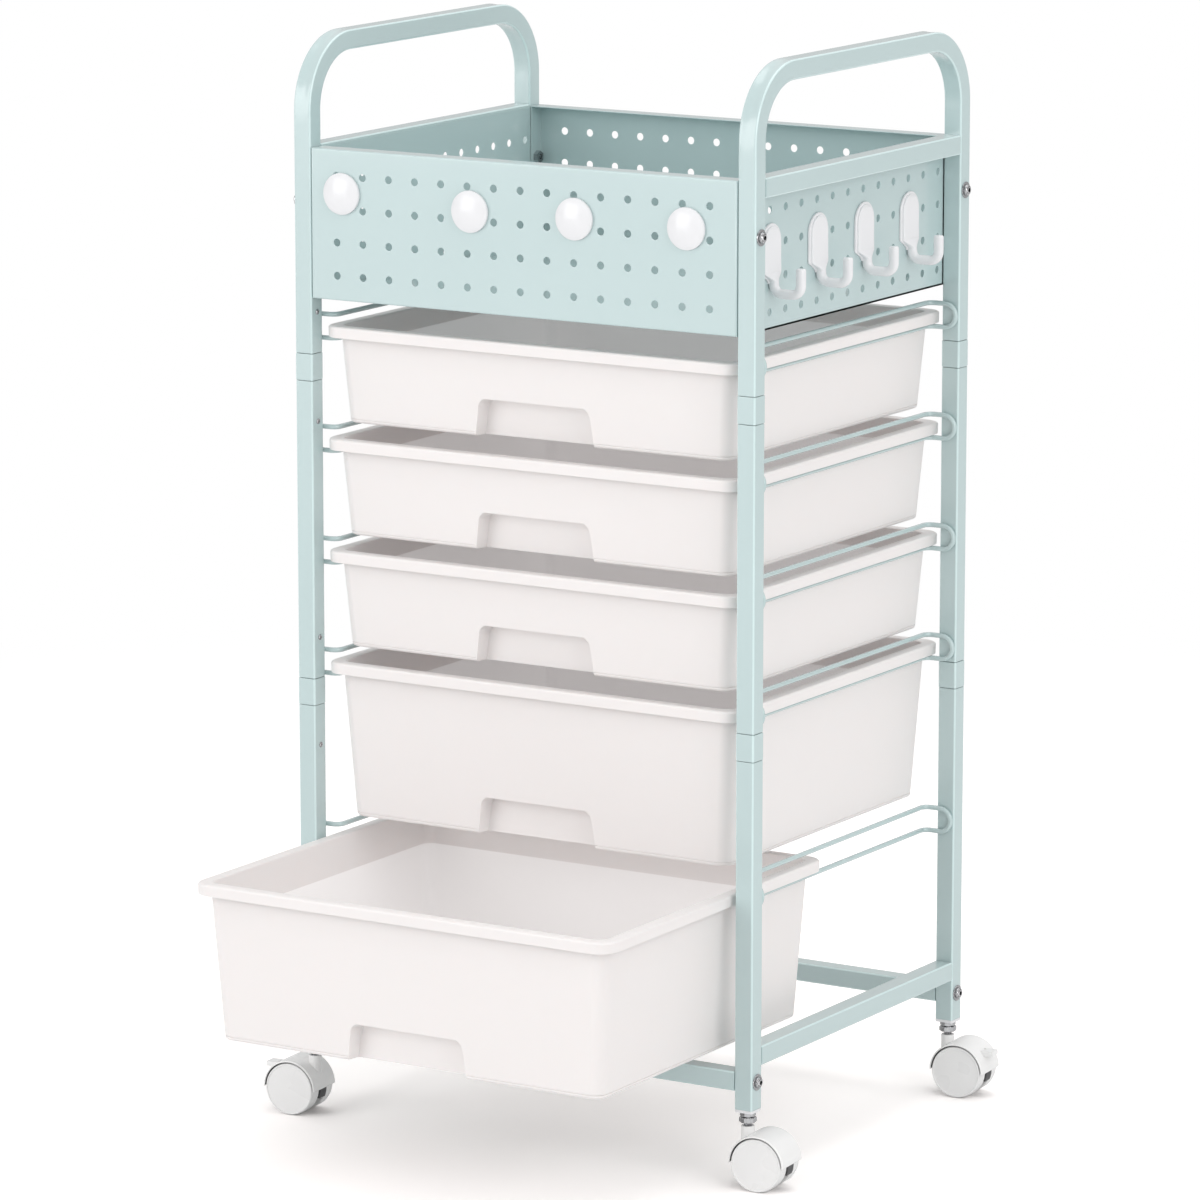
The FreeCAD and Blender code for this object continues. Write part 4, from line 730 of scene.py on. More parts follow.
def drawer_loop(half_w, half_d, radius, height, margin):
    """Points round a drawer at one height above its bottom, with close spacing at the finger recess."""
    grip = grip_half_width(max(height, 0.0)) + margin
    columns = [grip + offset * MM for offset in GRIP_COLUMNS]
    centre = [columns[0] * step / LOOP_STEPS for step in range(LOOP_STEPS)]
    rest = half_w - radius - columns[-1]
    outer = [columns[-1] + rest * step / OUTER_STEPS for step in range(1, OUTER_STEPS + 1)]
    right_half = centre + columns + outer
    left_half = [-x for x in reversed(right_half[1:])]
    points = [(x, -half_d) for x in left_half + right_half]
    corners = [(1, -1, 270), (1, 1, 0), (-1, 1, 90), (-1, -1, 180)]
    for index, corner in enumerate(corners):
        for step in range(1, LOOP_STEPS + 1):
            angle = radians(corner[2] + 90.0 * step / LOOP_STEPS)
            points.append(corner_point(half_w, half_d, radius, corner, angle))
        if index < 3:
            following = corners[index + 1]
            target = corner_point(half_w, half_d, radius, following, radians(following[2]))
            points += between(points[-1], target, LOOP_STEPS) + [target]
    # The last point would be the first one again
    return points[:-1]


def build_drawer(number):
    node = "drawer_%d" % number
    low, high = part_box(node)
    half_w = (high.x - low.x) / 2
    half_d = (high.y - low.y) / 2
    centre_y = (high.y + low.y) / 2
    depth = high.z - low.z - LIP_HEIGHT
    top = depth + LIP_HEIGHT
    draft = DEEP_DRAFT if depth > DEEP else SHALLOW_DRAFT
    dent = half_d - WALL_INSET - draft - GRIP_DEPTH
    rings = []

    def slope(height):
        """How far the draft takes the wall in at one height."""
        return draft * (1 - height / depth)

    def add_loop(inset, height, radius, margin=None):
        """Adds one ring. A margin says that the ring takes part in the finger recess."""
        ring = []
        for x, y in drawer_loop(half_w - inset, half_d - inset, radius, height, margin or 0.0):
            if margin is not None and y < -half_d * 0.5 and abs(x) < half_w - inset - radius:
                y += (max(margin - dent, y) - y) * grip_share(x, height, margin)
            ring.append((x, y + centre_y, low.z + height))
        rings.append(ring)

    # Up the outside, from the bottom's rounded edge to the lip
    for inset, rise in quarter(BOTTOM_ROUND, 6):
        add_loop(WALL_INSET + slope(rise) + inset, rise, WALL_CORNER - inset, 0.0)
    for rise, notch in FOOT_GROOVE:
        add_loop(WALL_INSET + slope(rise * MM) + notch * MM, rise * MM, WALL_CORNER, 0.0)
    heights = [row * MM for row in LOWER_ROWS] + [GRIP_HEIGHT + row * MM for row in GRIP_ROWS]
    heights += [heights[-1] + (depth - heights[-1]) * step / 4 for step in range(1, 5)]
    for height in heights:
        add_loop(WALL_INSET + slope(height), height, WALL_CORNER, 0.0)
    # Round the channel under the lip, and over the lip's rounded upper edge
    channel_top = top - WALL
    for inset, height in (
            (WALL_INSET, channel_top - 0.8 * MM), (WALL_INSET - 0.24 * MM, channel_top - 0.24 * MM),
            (WALL_INSET - 0.8 * MM, channel_top), (LIP_THICKNESS + 0.8 * MM, channel_top),
            (LIP_THICKNESS + 0.24 * MM, channel_top - 0.24 * MM), (LIP_THICKNESS, channel_top - 0.8 * MM),
            (LIP_THICKNESS, depth + 0.5 * MM), (LIP_THICKNESS - 0.15 * MM, depth + 0.15 * MM),
            (LIP_THICKNESS - 0.5 * MM, depth), (0.5 * MM, depth), (0.15 * MM, depth + 0.15 * MM),
            (0.0, depth + 0.5 * MM)):
        add_loop(inset, height, RIM_CORNER - inset * 0.5)
    for fall, inset in quarter(LIP_ROUND, 6):
        add_loop(inset, top - fall, RIM_CORNER - LIP_ROUND * 0.3)
    # Down the inside, from the rim's rounded edge to the floor
    inner_wall = WALL_INSET + WALL
    for across, fall in quarter(RIM_ROUND, 5):
        add_loop(inner_wall - across, top - fall, RIM_CORNER - inner_wall * 0.5)
    first_inside = len(rings)
    inner_corner = WALL_CORNER - WALL
    for height in reversed(heights):
        if height < depth - 3 * MM:
            add_loop(inner_wall + slope(height), height, inner_corner, WALL)
    for inset, rise in reversed(quarter(BOTTOM_ROUND - WALL, 5)):
        height = WALL + rise
        add_loop(inner_wall + slope(height) + inset, height, inner_corner - inset, WALL)
    shape = skin(rings, capped=True)
    # The inside below the rim and its floor, which is the last face, have the second material with its
    # painted glow
    per_ring = len(rings[0])
    shape.marks.update(range(first_inside * per_ring, (len(rings) - 1) * per_ring))
    shape.marks.add(len(shape.faces) - 1)
    add_piece(node + "_tub", shape, drawer_plastic, node, body=node, second=drawer_inside, sharp=60.0)


# Wire runners

WIRE = 4.8 * MM
WIRE_SIDES = 12
WIRE_BEND = 8.0 * MM
HALF_TURN_STEPS = 16


def wire_loop(points, radius):
    """A round wire along an endless row of points, with its section carried along without twist."""
    tangents = [(after - before).normalized()
                for before, after in zip(points[-1:] + points[:-1], points[1:] + points[:1])]
    normal = tangents[0].orthogonal().normalized()
    rings = []
    for point, tangent in zip(points, tangents):
        normal = (normal - tangent * normal.dot(tangent)).normalized()
        side = tangent.cross(normal)
        rings.append([point + normal * u + side * v for u, v in circle(radius, WIRE_SIDES)])
    shape = Shape()
    rows = shape.rings(rings)
    # The last ring meets the first one at the turn that brings their points together
    first, last = rings[0], rings[-1]
    turn = min(range(WIRE_SIDES), key=lambda shift: sum(
        (first[(index + shift) % WIRE_SIDES] - last[index]).length for index in range(WIRE_SIDES)))
    shape.bridge(rows[-1], rows[0][turn:] + rows[0][:turn])
    return shape


def bend_points(corner, before, after):
    """Points on an arc that rounds a right-angled corner of a wire."""
    return [corner - before * short + after * past for short, past in quarter(WIRE_BEND, 8)]


def build_runner(side_name, side, number):
    node = "%s_runner_%d" % (side_name, number)
    low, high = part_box(node)
    radius = WIRE / 2
    inner, outer = (low.x, high.x) if side > 0 else (high.x, low.x)
    run_x = inner + side * radius
    lower, upper = low.z + radius, high.z - radius
    half_turn = (upper - lower) / 2
    hook_x = outer - side * (radius + half_turn)
    outward = AXIS_X * side
    points = []
    for end, first, second in ((-1, lower, upper), (1, upper, lower)):
        y = end * (high.y - radius)
        forward = AXIS_Y * end
        points += bend_points(Vector((run_x, y, first)), forward, outward)
        middle = Vector((hook_x, y, (lower + upper) / 2))
        for step in range(HALF_TURN_STEPS + 1):
            angle = pi * step / HALF_TURN_STEPS
            points.append(middle + outward * half_turn * sin(angle) + AXIS_Z * end * half_turn * cos(angle))
        points += bend_points(Vector((run_x, y, second)), -outward, -forward)
    add_piece(node + "_wire", wire_loop(points, radius), wire_paint, node)


# Hooks and magnets

PLATE_WIDTH = 36.0 * MM
PLATE_HEIGHT = 53.0 * MM
PLATE_THICKNESS = 4.0 * MM
PLATE_FLANGE = 2.3 * MM
PLATE_CENTRE = 879.2 * MM
PLATE_BOTTOM = -PLATE_HEIGHT / 2
COVER_INSET = 2.6 * MM
SHOULDER_TOP = 8.0 * MM
NECK_LEVEL = -3.0 * MM
BAR_RADIUS = 4.6 * MM
HOOK_FAR = BAR_RADIUS + 28.7 * MM
HOOK_DROP = 16.6 * MM
HOOK_TIP = PLATE_BOTTOM + 13.0 * MM
HOOK_BEND = 8.6 * MM
HOOK_END_ROUND = 2.2 * MM
THINNEST = 0.05 * MM
SECTION_STEPS = 32
CURVE_STEPS = 12
COVER_POWER = 7.0
BAR_POWER = 2.3
# Columns of the panel's holes that carry a hook, counted from the middle one
HOOK_COLUMNS = (-5, -2, 1, 4)


def plate_half_width(height, top, inset=0.0):
    """Half the plate's width at a height over its lower end: round on top, drawn in to the neck below."""
    half = PLATE_WIDTH / 2 - inset
    neck = BAR_RADIUS - inset * 0.4
    if height > top - half:
        rise = min(height - (top - half), half)
        return sqrt(max(half * half - rise * rise, 0.0))
    if height > SHOULDER_TOP:
        return half
    share = (SHOULDER_TOP - height) / (SHOULDER_TOP - NECK_LEVEL)
    return half + (neck - half) * (0.5 - 0.5 * cos(pi * min(share, 1.0) ** 0.85))


def hook_heights(top, half):
    """Heights over the plate's lower end, close together where its outline curves."""
    heights = [top - half + half * sin(pi / 2 * step / CURVE_STEPS) for step in range(CURVE_STEPS, 0, -1)]
    heights += [top - half, (top - half + SHOULDER_TOP) / 2, SHOULDER_TOP]
    heights += [SHOULDER_TOP + (NECK_LEVEL - SHOULDER_TOP) * step / CURVE_STEPS
                for step in range(1, CURVE_STEPS + 1)]
    return heights


def superellipse(half_w, half_h, power):
    points = []
    for x, y in circle(1.0, SECTION_STEPS):
        points.append((half_w * abs(x) ** (2 / power) * (1 if x > 0 else -1),
                       half_h * abs(y) ** (2 / power) * (1 if y > 0 else -1)))
    return points


def hook_flange():
    """The thin plate that lies on the panel."""
    heights = hook_heights(PLATE_HEIGHT, PLATE_WIDTH / 2)
    rings = []
    for inset, level in ((0.5 * MM, 0.0), (0.0, 0.35 * MM), (0.0, PLATE_FLANGE - 0.9 * MM),
                         (0.25 * MM, PLATE_FLANGE - 0.3 * MM), (0.9 * MM, PLATE_FLANGE)):
        right = []
        for height in heights:
            width = max(plate_half_width(height, PLATE_HEIGHT) - inset, THINNEST)
            right.append((level, width, PLATE_BOTTOM + min(height, PLATE_HEIGHT - inset)))
        rings.append(right + [(x, -y, z) for x, y, z in reversed(right)])
    return skin(rings, capped=True)


def cover_rings():
    """The raised cover on the plate, which narrows at its lower end and runs on as the hook's bar."""
    top = PLATE_HEIGHT - COVER_INSET
    rings = []
    for height in hook_heights(top, PLATE_WIDTH / 2 - COVER_INSET):
        blend = smooth_step(-SHOULDER_TOP - 2 * MM, -NECK_LEVEL, -height)
        width = max(plate_half_width(height, top, COVER_INSET), THINNEST, BAR_RADIUS * blend)
        thick = PLATE_THICKNESS / 2 * (1 - blend) + BAR_RADIUS * blend
        end_fall = 1.0 - 0.45 * smooth_step(top - 3.0 * MM, top, height)
        section = superellipse(width, thick, COVER_POWER * (1 - blend) + BAR_POWER * blend)
        rings.append([(thick + v * (end_fall if v > 0 else 1.0), u, PLATE_BOTTOM + height)
                      for u, v in section])
    return rings


def bar_path(start):
    """The bar's middle line from its start down from the plate, outwards and up to the tip."""
    bend_level = PLATE_BOTTOM - HOOK_DROP + BAR_RADIUS + HOOK_BEND
    path = [(BAR_RADIUS, start + (bend_level - start) * step / 4) for step in range(1, 4)]
    for middle, first in ((BAR_RADIUS + HOOK_BEND, 180), (HOOK_FAR - HOOK_BEND, 270)):
        path += [(middle + HOOK_BEND * cos(radians(angle)), bend_level + HOOK_BEND * sin(radians(angle)))
                 for angle in range(first, first + 91, 9)]
    rise = HOOK_TIP - HOOK_END_ROUND - bend_level
    path += [(HOOK_FAR, bend_level + rise * step / 3) for step in range(1, 4)]
    return [Vector((x, 0, z)) for x, z in path]


def hook_shape():
    """One hook in its own axes: Y along the panel, Z up and X out of the panel, round its plate's middle."""
    start = PLATE_BOTTOM + NECK_LEVEL
    path = bar_path(start)
    rings = cover_rings()
    for before, point, after in zip([Vector((BAR_RADIUS, 0, start))] + path, path, path[1:] + path[-1:]):
        along = (after - before).normalized()
        # At first the bar runs down, so its outward side is AXIS_X
        outward = Vector((-along.z, 0, along.x))
        section = superellipse(BAR_RADIUS, BAR_RADIUS, BAR_POWER)
        rings.append([point + AXIS_Y * u + outward * v for u, v in section])
    for short, inset in quarter(HOOK_END_ROUND, 4)[1:]:
        section = superellipse(BAR_RADIUS - inset, BAR_RADIUS - inset, BAR_POWER)
        rings.append([(HOOK_FAR - v, u, HOOK_TIP - short) for u, v in section])
    shape = hook_flange()
    shape.rings(rings, capped=True)
    # Two pegs behind the plate stand in holes of the panel
    peg = lathe([(3.2 * MM, 0.0), (3.5 * MM, -0.3 * MM), (3.5 * MM, -1.1 * MM), (3.2 * MM, -1.4 * MM)], 24,
                capped=True)
    for row in (1, 2):
        height = SIDE_TOP_ROW - ROW_PITCH * row - PLATE_CENTRE
        shape.add(peg, Matrix.Translation((0, 0, height)) @ Matrix.Rotation(pi / 2, 4, "Y"))
    return shape


def build_hooks():
    hook = hook_shape()
    whole = Shape()
    for column in HOOK_COLUMNS:
        whole.add(hook, Matrix.Translation((INNER_X, HOLE_PITCH * column, PLATE_CENTRE)))
    add_piece("hook_set", whole, white_gloss, "hooks", sharp=50.0)


# Places across the front panel and above the floor, in millimetres
MAGNET_PLACES = [(-198.9, 909.5), (-54.8, 902.7), (60.3, 903.9), (181.3, 903.6)]
MAGNET_RADIUS = 20.0 * MM
MAGNET_EDGE = 3.0 * MM
MAGNET_DOME = 5.0 * MM
DOME_STEPS = 14


def build_magnets():
    profile = [(ON_AXIS, 0.0), (MAGNET_RADIUS - 0.4 * MM, 0.0), (MAGNET_RADIUS, 0.4 * MM),
               (MAGNET_RADIUS, MAGNET_EDGE - 0.8 * MM), (MAGNET_RADIUS - 0.12 * MM, MAGNET_EDGE - 0.25 * MM),
               (MAGNET_RADIUS - 0.45 * MM, MAGNET_EDGE + 0.12 * MM)]
    dome_radius = (MAGNET_RADIUS ** 2 + MAGNET_DOME ** 2) / (2 * MAGNET_DOME)
    half_angle = acos((dome_radius - MAGNET_DOME) / dome_radius)
    for step in range(1, DOME_STEPS + 1):
        angle = half_angle * (1 - step / DOME_STEPS) * 0.95
        level = MAGNET_EDGE + MAGNET_DOME - dome_radius * (1 - cos(angle))
        profile.append((max(dome_radius * sin(angle), ON_AXIS), level))
    magnet = lathe(profile, 48)
    whole = Shape()
    for across, height in MAGNET_PLACES:
        place = Matrix.Translation((across * MM, -OUTER_Y, height * MM))
        whole.add(magnet, place @ Matrix.Rotation(pi / 2, 4, "X"))
    add_piece("magnet_set", whole, white_gloss, "magnets", sharp=50.0)


# Bolts, washers and screws

HEAD_STEPS = 24
BOLT = {"radius": 5.4 * MM, "height": 3.4 * MM, "socket": 4.0 * MM, "socket_depth": 2.2 * MM,
        "shank_radius": 3.0 * MM, "shank_length": 20 * MM}
SCREW = {"radius": 2.7 * MM, "height": 1.4 * MM, "socket": 1.6 * MM, "socket_depth": 0.7 * MM,
         "shank_radius": 1.5 * MM, "shank_length": 5 * MM}
SCREW_REACH = 53.0 * MM
WASHER = 1.2 * MM
WASHER_RADIUS = 7.9 * MM
WASHER_HOLE = 3.3 * MM
WASHER_EDGE = 0.3 * MM


def hex_ring(across, steps):
    """Points round a hexagon, by its width across the flats, as many as a circle has."""
    points = []
    for step in range(steps):
        angle = 2 * pi * step / steps
        radius = across / 2 / cos((angle + pi / 6) % (pi / 3) - pi / 6)
        points.append((radius * cos(angle), radius * sin(angle)))
    return points


def button_head(radius, height, socket, socket_depth, shank_radius, shank_length):
    """A domed head with a hexagon socket, looking along +Z, with its seat at level 0."""
    edge = height * 0.22
    flat = socket / 2 * 1.25
    profile = [(shank_radius, -shank_length), (shank_radius, 0.0), (radius - 0.1 * MM, 0.0),
               (radius, 0.15 * MM), (radius, edge)]
    for step in range(1, 7):
        angle = pi / 2 * step / 6
        profile.append((flat + (radius - flat) * cos(angle), edge + height * 0.78 * sin(angle)))
    rings = [at_level(circle(around, HEAD_STEPS), level) for around, level in profile]
    for grow, level in ((0.25 * MM, height), (0.0, height - 0.2 * MM), (0.0, height - socket_depth)):
        rings.append(at_level(hex_ring(socket + grow, HEAD_STEPS), level))
    shape = skin(rings, capped=True)
    # The socket's walls and its floor, which is the last face, have the second material, a near-black painted
    # shade
    socket_floor = len(shape.faces) - 1
    shape.marks.update(range(socket_floor - 1 - HEAD_STEPS, socket_floor - 1))
    shape.marks.add(socket_floor)
    return shape


def side_face(side, x, end, height, facing):
    """The place of a head on a post's side, facing to the left (-1) or the right (1)."""
    return Matrix.Translation((side * x, end * POST_Y, height)) @ Matrix.Rotation(facing * pi / 2, 4, "Y")


def build_bolts():
    head = button_head(**BOLT)
    ring = lathe([(WASHER_HOLE, 0.0), (WASHER_RADIUS - WASHER_EDGE, 0.0), (WASHER_RADIUS, WASHER_EDGE),
                  (WASHER_RADIUS, WASHER - WASHER_EDGE),
                  (WASHER_RADIUS - WASHER_EDGE * 0.3, WASHER - WASHER_EDGE * 0.3),
                  (WASHER_RADIUS - WASHER_EDGE, WASHER), (WASHER_HOLE, WASHER), (WASHER_HOLE, 0.0)], 40)
    bolts, washers = Shape(), Shape()
    for side, end in CORNERS:
        for height in (middle_height("basket_nuts"), middle_height("front_cross_bar")):
            face = side_face(side, OUTER_X, end, height, side)
            bolts.add(head, face @ Matrix.Translation((0, 0, WASHER)))
            washers.add(ring, face)
    add_piece("bolt_set", bolts, zinc, "frame_bolts", second=socket_painted_shade)
    add_piece("washer_set", washers, zinc, "frame_washers")


def build_screws():
    """Small domed screws in the posts' inner faces, above and below each joint."""
    head = button_head(**SCREW)
    screws = Shape()
    for side, end in CORNERS:
        for node in ("lower_connectors", "upper_connectors"):
            for reach in (-SCREW_REACH, SCREW_REACH):
                screws.add(head, side_face(side, INNER_X, end, middle_height(node) + reach, -side))
    add_piece("screw_set", screws, zinc, "connector_screws", second=socket_painted_shade)


# Casters

# Side, end and direction in degrees of each caster
CASTERS = {
    "front_left": (-1, -1, 180),
    "front_right": (1, -1, 0),
    "rear_left": (-1, 1, 180),
    "rear_right": (1, 1, 0),
}
CASTER_TURN = 4.6
TRAIL = 18.0 * MM
WHEEL = 26.0 * MM
WHEEL_INNER = 7.0 * MM
WHEEL_OUTER = 21.5 * MM
WHEEL_EDGE = 1.2 * MM
WHEEL_BORE = 3.1 * MM
WHEEL_FACE = WHEEL - 0.5 * MM
WHEEL_RIM = 23.9 * MM
PIN = 3.0 * MM
HOOD = 28.5 * MM
HOOD_THICKNESS = 1.4 * MM
HOOD_EDGE = 1.5 * MM
HOOD_END = radians(1.6)
HOOD_STEPS = 56
# The core and the lining under the hood are near-black: painted shade between the wheels and in the gap under
# the hood
CORE_RADIUS = 27.12 * MM
CORE_HALF = 6.4 * MM
CORE_DROP = 10.0 * MM
CORE_EDGE = 0.6 * MM
CORE_STEPS = 40
LINING_INNER = 26.3 * MM
LINING_HALF = 20.2 * MM
LINING_END = 0.06
STEM = 4.0 * MM
STEM_LOW = 36.0 * MM
STEM_HIGH = 94.0 * MM
THREAD_PITCH = 1.25 * MM
THREAD_DEPTH = 0.5 * MM
SLEEVE = 6.5 * MM
SLEEVE_LOW = 31.0 * MM
SLEEVE_TOP = 58.5 * MM
# Width across the flats, bottom and top of the stem's nuts
STEM_NUTS = [(13.4 * MM, 67.5 * MM, 71.7 * MM), (14.7 * MM, 61.7 * MM, 66.9 * MM)]
NUT_STEPS = 48
NUT_CHAMFER = 0.7 * MM

TO_AXLE = Matrix.Translation((TRAIL, 0, WHEEL))
ALONG_AXLE = TO_AXLE @ Matrix.Rotation(pi / 2, 4, "X")


def caster_place(corner):
    side, end, turn = CASTERS[corner]
    return (Matrix.Translation((side * POST_X, end * POST_Y, 0))
            @ Matrix.Rotation(radians(turn + CASTER_TURN), 4, "Z"))


def wheel_shape():
    """One wheel in its own axes, with its outer face towards +Z and its inner face at level 0."""
    width = WHEEL_OUTER - WHEEL_INNER
    profile = [(WHEEL_BORE, 0.0)]
    profile += [(WHEEL - inset, rise) for inset, rise in quarter(WHEEL_EDGE, 4)]
    profile += [(WHEEL, width - 3 * MM)]
    profile += [(WHEEL_FACE - inset, width - fall) for fall, inset in quarter(WHEEL_EDGE, 4)]
    profile += [(WHEEL_RIM + 0.2 * MM, width), (WHEEL_RIM, width - 0.1 * MM),
                (WHEEL_RIM - 0.2 * MM, width - 0.5 * MM), (WHEEL_RIM - 0.6 * MM, width - 0.6 * MM)]
    profile += [(WHEEL_RIM * share, width - 0.6 * MM + 0.5 * MM * (1 - share * share))
                for share in (0.8, 0.5, 0.25, 0.1)]
    profile += [(ON_AXIS, width - 0.1 * MM)]
    return lathe(profile, 72)


def build_wheels(corner):
    shape = Shape()
    for sign in (-1, 1):
        turn = Matrix.Rotation(-sign * pi / 2, 4, "X")
        shape.add(wheel_shape(), TO_AXLE @ turn @ Matrix.Translation((0, 0, WHEEL_INNER)))
    reach = WHEEL_INNER + 1 * MM
    shape.add(lathe([(ON_AXIS, -reach), (PIN, -reach), (PIN, reach), (ON_AXIS, reach)], 24), ALONG_AXLE)
    add_piece(corner + "_wheels_pair", shape.moved(caster_place(corner)), wheel_plastic, corner + "_wheels",
              body=corner + "_wheel_pair")


def hood_shell():
    """The half-round shell over both wheels, in axes whose Z is the axle and X points back."""
    inner = HOOD - HOOD_THICKNESS
    middle = (HOOD + inner) / 2
    section = [(inner, -WHEEL_OUTER + 0.4 * MM), (inner + 0.3 * MM, -WHEEL_OUTER)]
    section += [(HOOD - inset, -WHEEL_OUTER + rise) for inset, rise in quarter(HOOD_EDGE, 5)]
    section += [(HOOD - inset, WHEEL_OUTER - fall) for fall, inset in quarter(HOOD_EDGE, 5)]
    section += [(inner + 0.3 * MM, WHEEL_OUTER), (inner, WHEEL_OUTER - 0.4 * MM)]
    # How far the section has shrunk on its way round the shell's two rounded ends
    ends = ((0.35, 0.0), (0.75, 0.35), (0.93, 0.65))
    stations = [(HOOD_END * share, shrink) for shrink, share in ends]
    stations += [(HOOD_END + (pi - 2 * HOOD_END) * step / HOOD_STEPS, 1.0) for step in range(HOOD_STEPS + 1)]
    stations += [(pi - HOOD_END * share, shrink) for shrink, share in reversed(ends)]
    rings = []
    for angle, shrink in stations:
        ring = []
        for radius, z in section:
            near = middle + (radius - middle) * shrink
            length = (abs(z) - (1 - shrink) * HOOD_THICKNESS / 2) * (1 if z > 0 else -1)
            ring.append((near * cos(angle), near * sin(angle), length))
        rings.append(ring)
    return skin(rings, capped=True)


def core_shape():
    """A disc between the wheels, cut off below the axle, in near-black as painted shade in the slot between
    the wheels.
    """
    start = -atan2(CORE_DROP, sqrt(CORE_RADIUS * CORE_RADIUS - CORE_DROP * CORE_DROP))
    rings = []
    for inset, level in ((CORE_EDGE, -CORE_HALF), (0.0, -CORE_HALF + CORE_EDGE), (0.0, CORE_HALF - CORE_EDGE),
                         (CORE_EDGE, CORE_HALF)):
        radius = CORE_RADIUS - inset
        angles = [start + (pi - 2 * start) * step / CORE_STEPS for step in range(CORE_STEPS + 1)]
        rings.append([(radius * cos(angle), radius * sin(angle), level) for angle in angles])
    return skin(rings, capped=True)


def build_hood(corner):
    """The hood with the sleeve round the stem, and under it the core and lining in near-black: painted shade
    in the gap between hood and wheels.
    """
    place = caster_place(corner)
    lining = lathe([(LINING_INNER, -LINING_HALF), (CORE_RADIUS, -LINING_HALF), (CORE_RADIUS, LINING_HALF),
                    (LINING_INNER, LINING_HALF), (LINING_INNER, -LINING_HALF)], 56,
                   pi - 2 * LINING_END, LINING_END)
    axle = place @ ALONG_AXLE
    core = core_shape().moved(axle).add(lining, axle)
    add_piece(corner + "_core", core, core_painted_shade, body=corner + "_swivel")
    bore = STEM + 0.1 * MM
    sleeve = lathe([(bore, SLEEVE_LOW + 5 * MM), (bore, SLEEVE_LOW), (SLEEVE, SLEEVE_LOW),
                    (SLEEVE, SLEEVE_TOP - 0.8 * MM), (SLEEVE - 0.25 * MM, SLEEVE_TOP - 0.25 * MM),
                    (SLEEVE - 0.8 * MM, SLEEVE_TOP), (STEM + 0.5 * MM, SLEEVE_TOP),
                    (bore, SLEEVE_TOP - 0.4 * MM), (bore, SLEEVE_LOW + 5 * MM)], 40)
    hood = hood_shell().moved(axle).add(sleeve, place)
    add_piece(corner + "_hood_shell", hood, caster_plastic, corner + "_hood", body=corner + "_swivel")


def hex_nut(across, bottom, top):
    """A nut with chamfered corners and a hole for the stem."""
    hexagon = hex_ring(across, NUT_STEPS)
    clipped = []
    for x, y in hexagon:
        share = min(1.0, across / 2 * 1.01 / hypot(x, y))
        clipped.append((x * share, y * share))
    hole = circle(STEM + 0.05 * MM, NUT_STEPS)
    return skin([at_level(outline, level) for outline, level in (
        (hole, bottom), (clipped, bottom), (hexagon, bottom + NUT_CHAMFER), (hexagon, top - NUT_CHAMFER),
        (clipped, top), (hole, top))], loop=True)


def build_stem(corner):
    """The threaded stem with its two nuts."""
    root = STEM - THREAD_DEPTH
    profile = [(ON_AXIS, STEM_LOW), (root, STEM_LOW)]
    level = STEM_LOW
    while level < STEM_HIGH - THREAD_PITCH:
        profile += [(root, level + 0.1 * THREAD_PITCH), (STEM, level + 0.5 * THREAD_PITCH),
                    (root, level + 0.9 * THREAD_PITCH)]
        level += THREAD_PITCH
    profile += [(root, STEM_HIGH), (ON_AXIS, STEM_HIGH)]
    place = caster_place(corner)
    shape = lathe(profile, 24).moved(place)
    for across, bottom, top in STEM_NUTS:
        shape.add(hex_nut(across, bottom, top), place)
    add_piece(corner + "_stem_set", shape, zinc, corner + "_stem", sharp=25.0)


build_handles()
build_posts()
build_rails()
build_collars()
build_end_panels()
build_side_panels()
for number in range(1, 6):
    build_drawer(number)
    for side_name, side in SIDES.items():
        build_runner(side_name, side, number)
build_hooks()
build_magnets()
build_bolts()
build_screws()
build_plugs()
for corner in CASTERS:
    build_wheels(corner)
    build_hood(corner)
    build_stem(corner)

paint("basket_floor", panel_paint)
paint("basket_nuts", zinc)
for corner in ("front_left", "rear_right"):
    paint(corner + "_brake", caster_plastic)


# Stage, light and camera

FLOOR_REACH = 60.0
FLOOR_NEAR = 0.9
FLOOR_FAR = 2.4
FLOOR_GAIN = 1.22
FLOOR_PLAIN = (0.86, 0.86, 0.86, 1.0)
FLOOR_SEEN = (FLOOR_GAIN, FLOOR_GAIN * 0.97, FLOOR_GAIN * 0.96, 1.0)
SKY_STOPS = [(0.0, grey(0.55)), (0.45, grey(1.0))]
SKY_LIGHT = 0.84


def empty_tree(block):
    """Gives a material or world an empty node tree."""
    block.use_nodes = True
    block.node_tree.nodes.clear()
    return block.node_tree


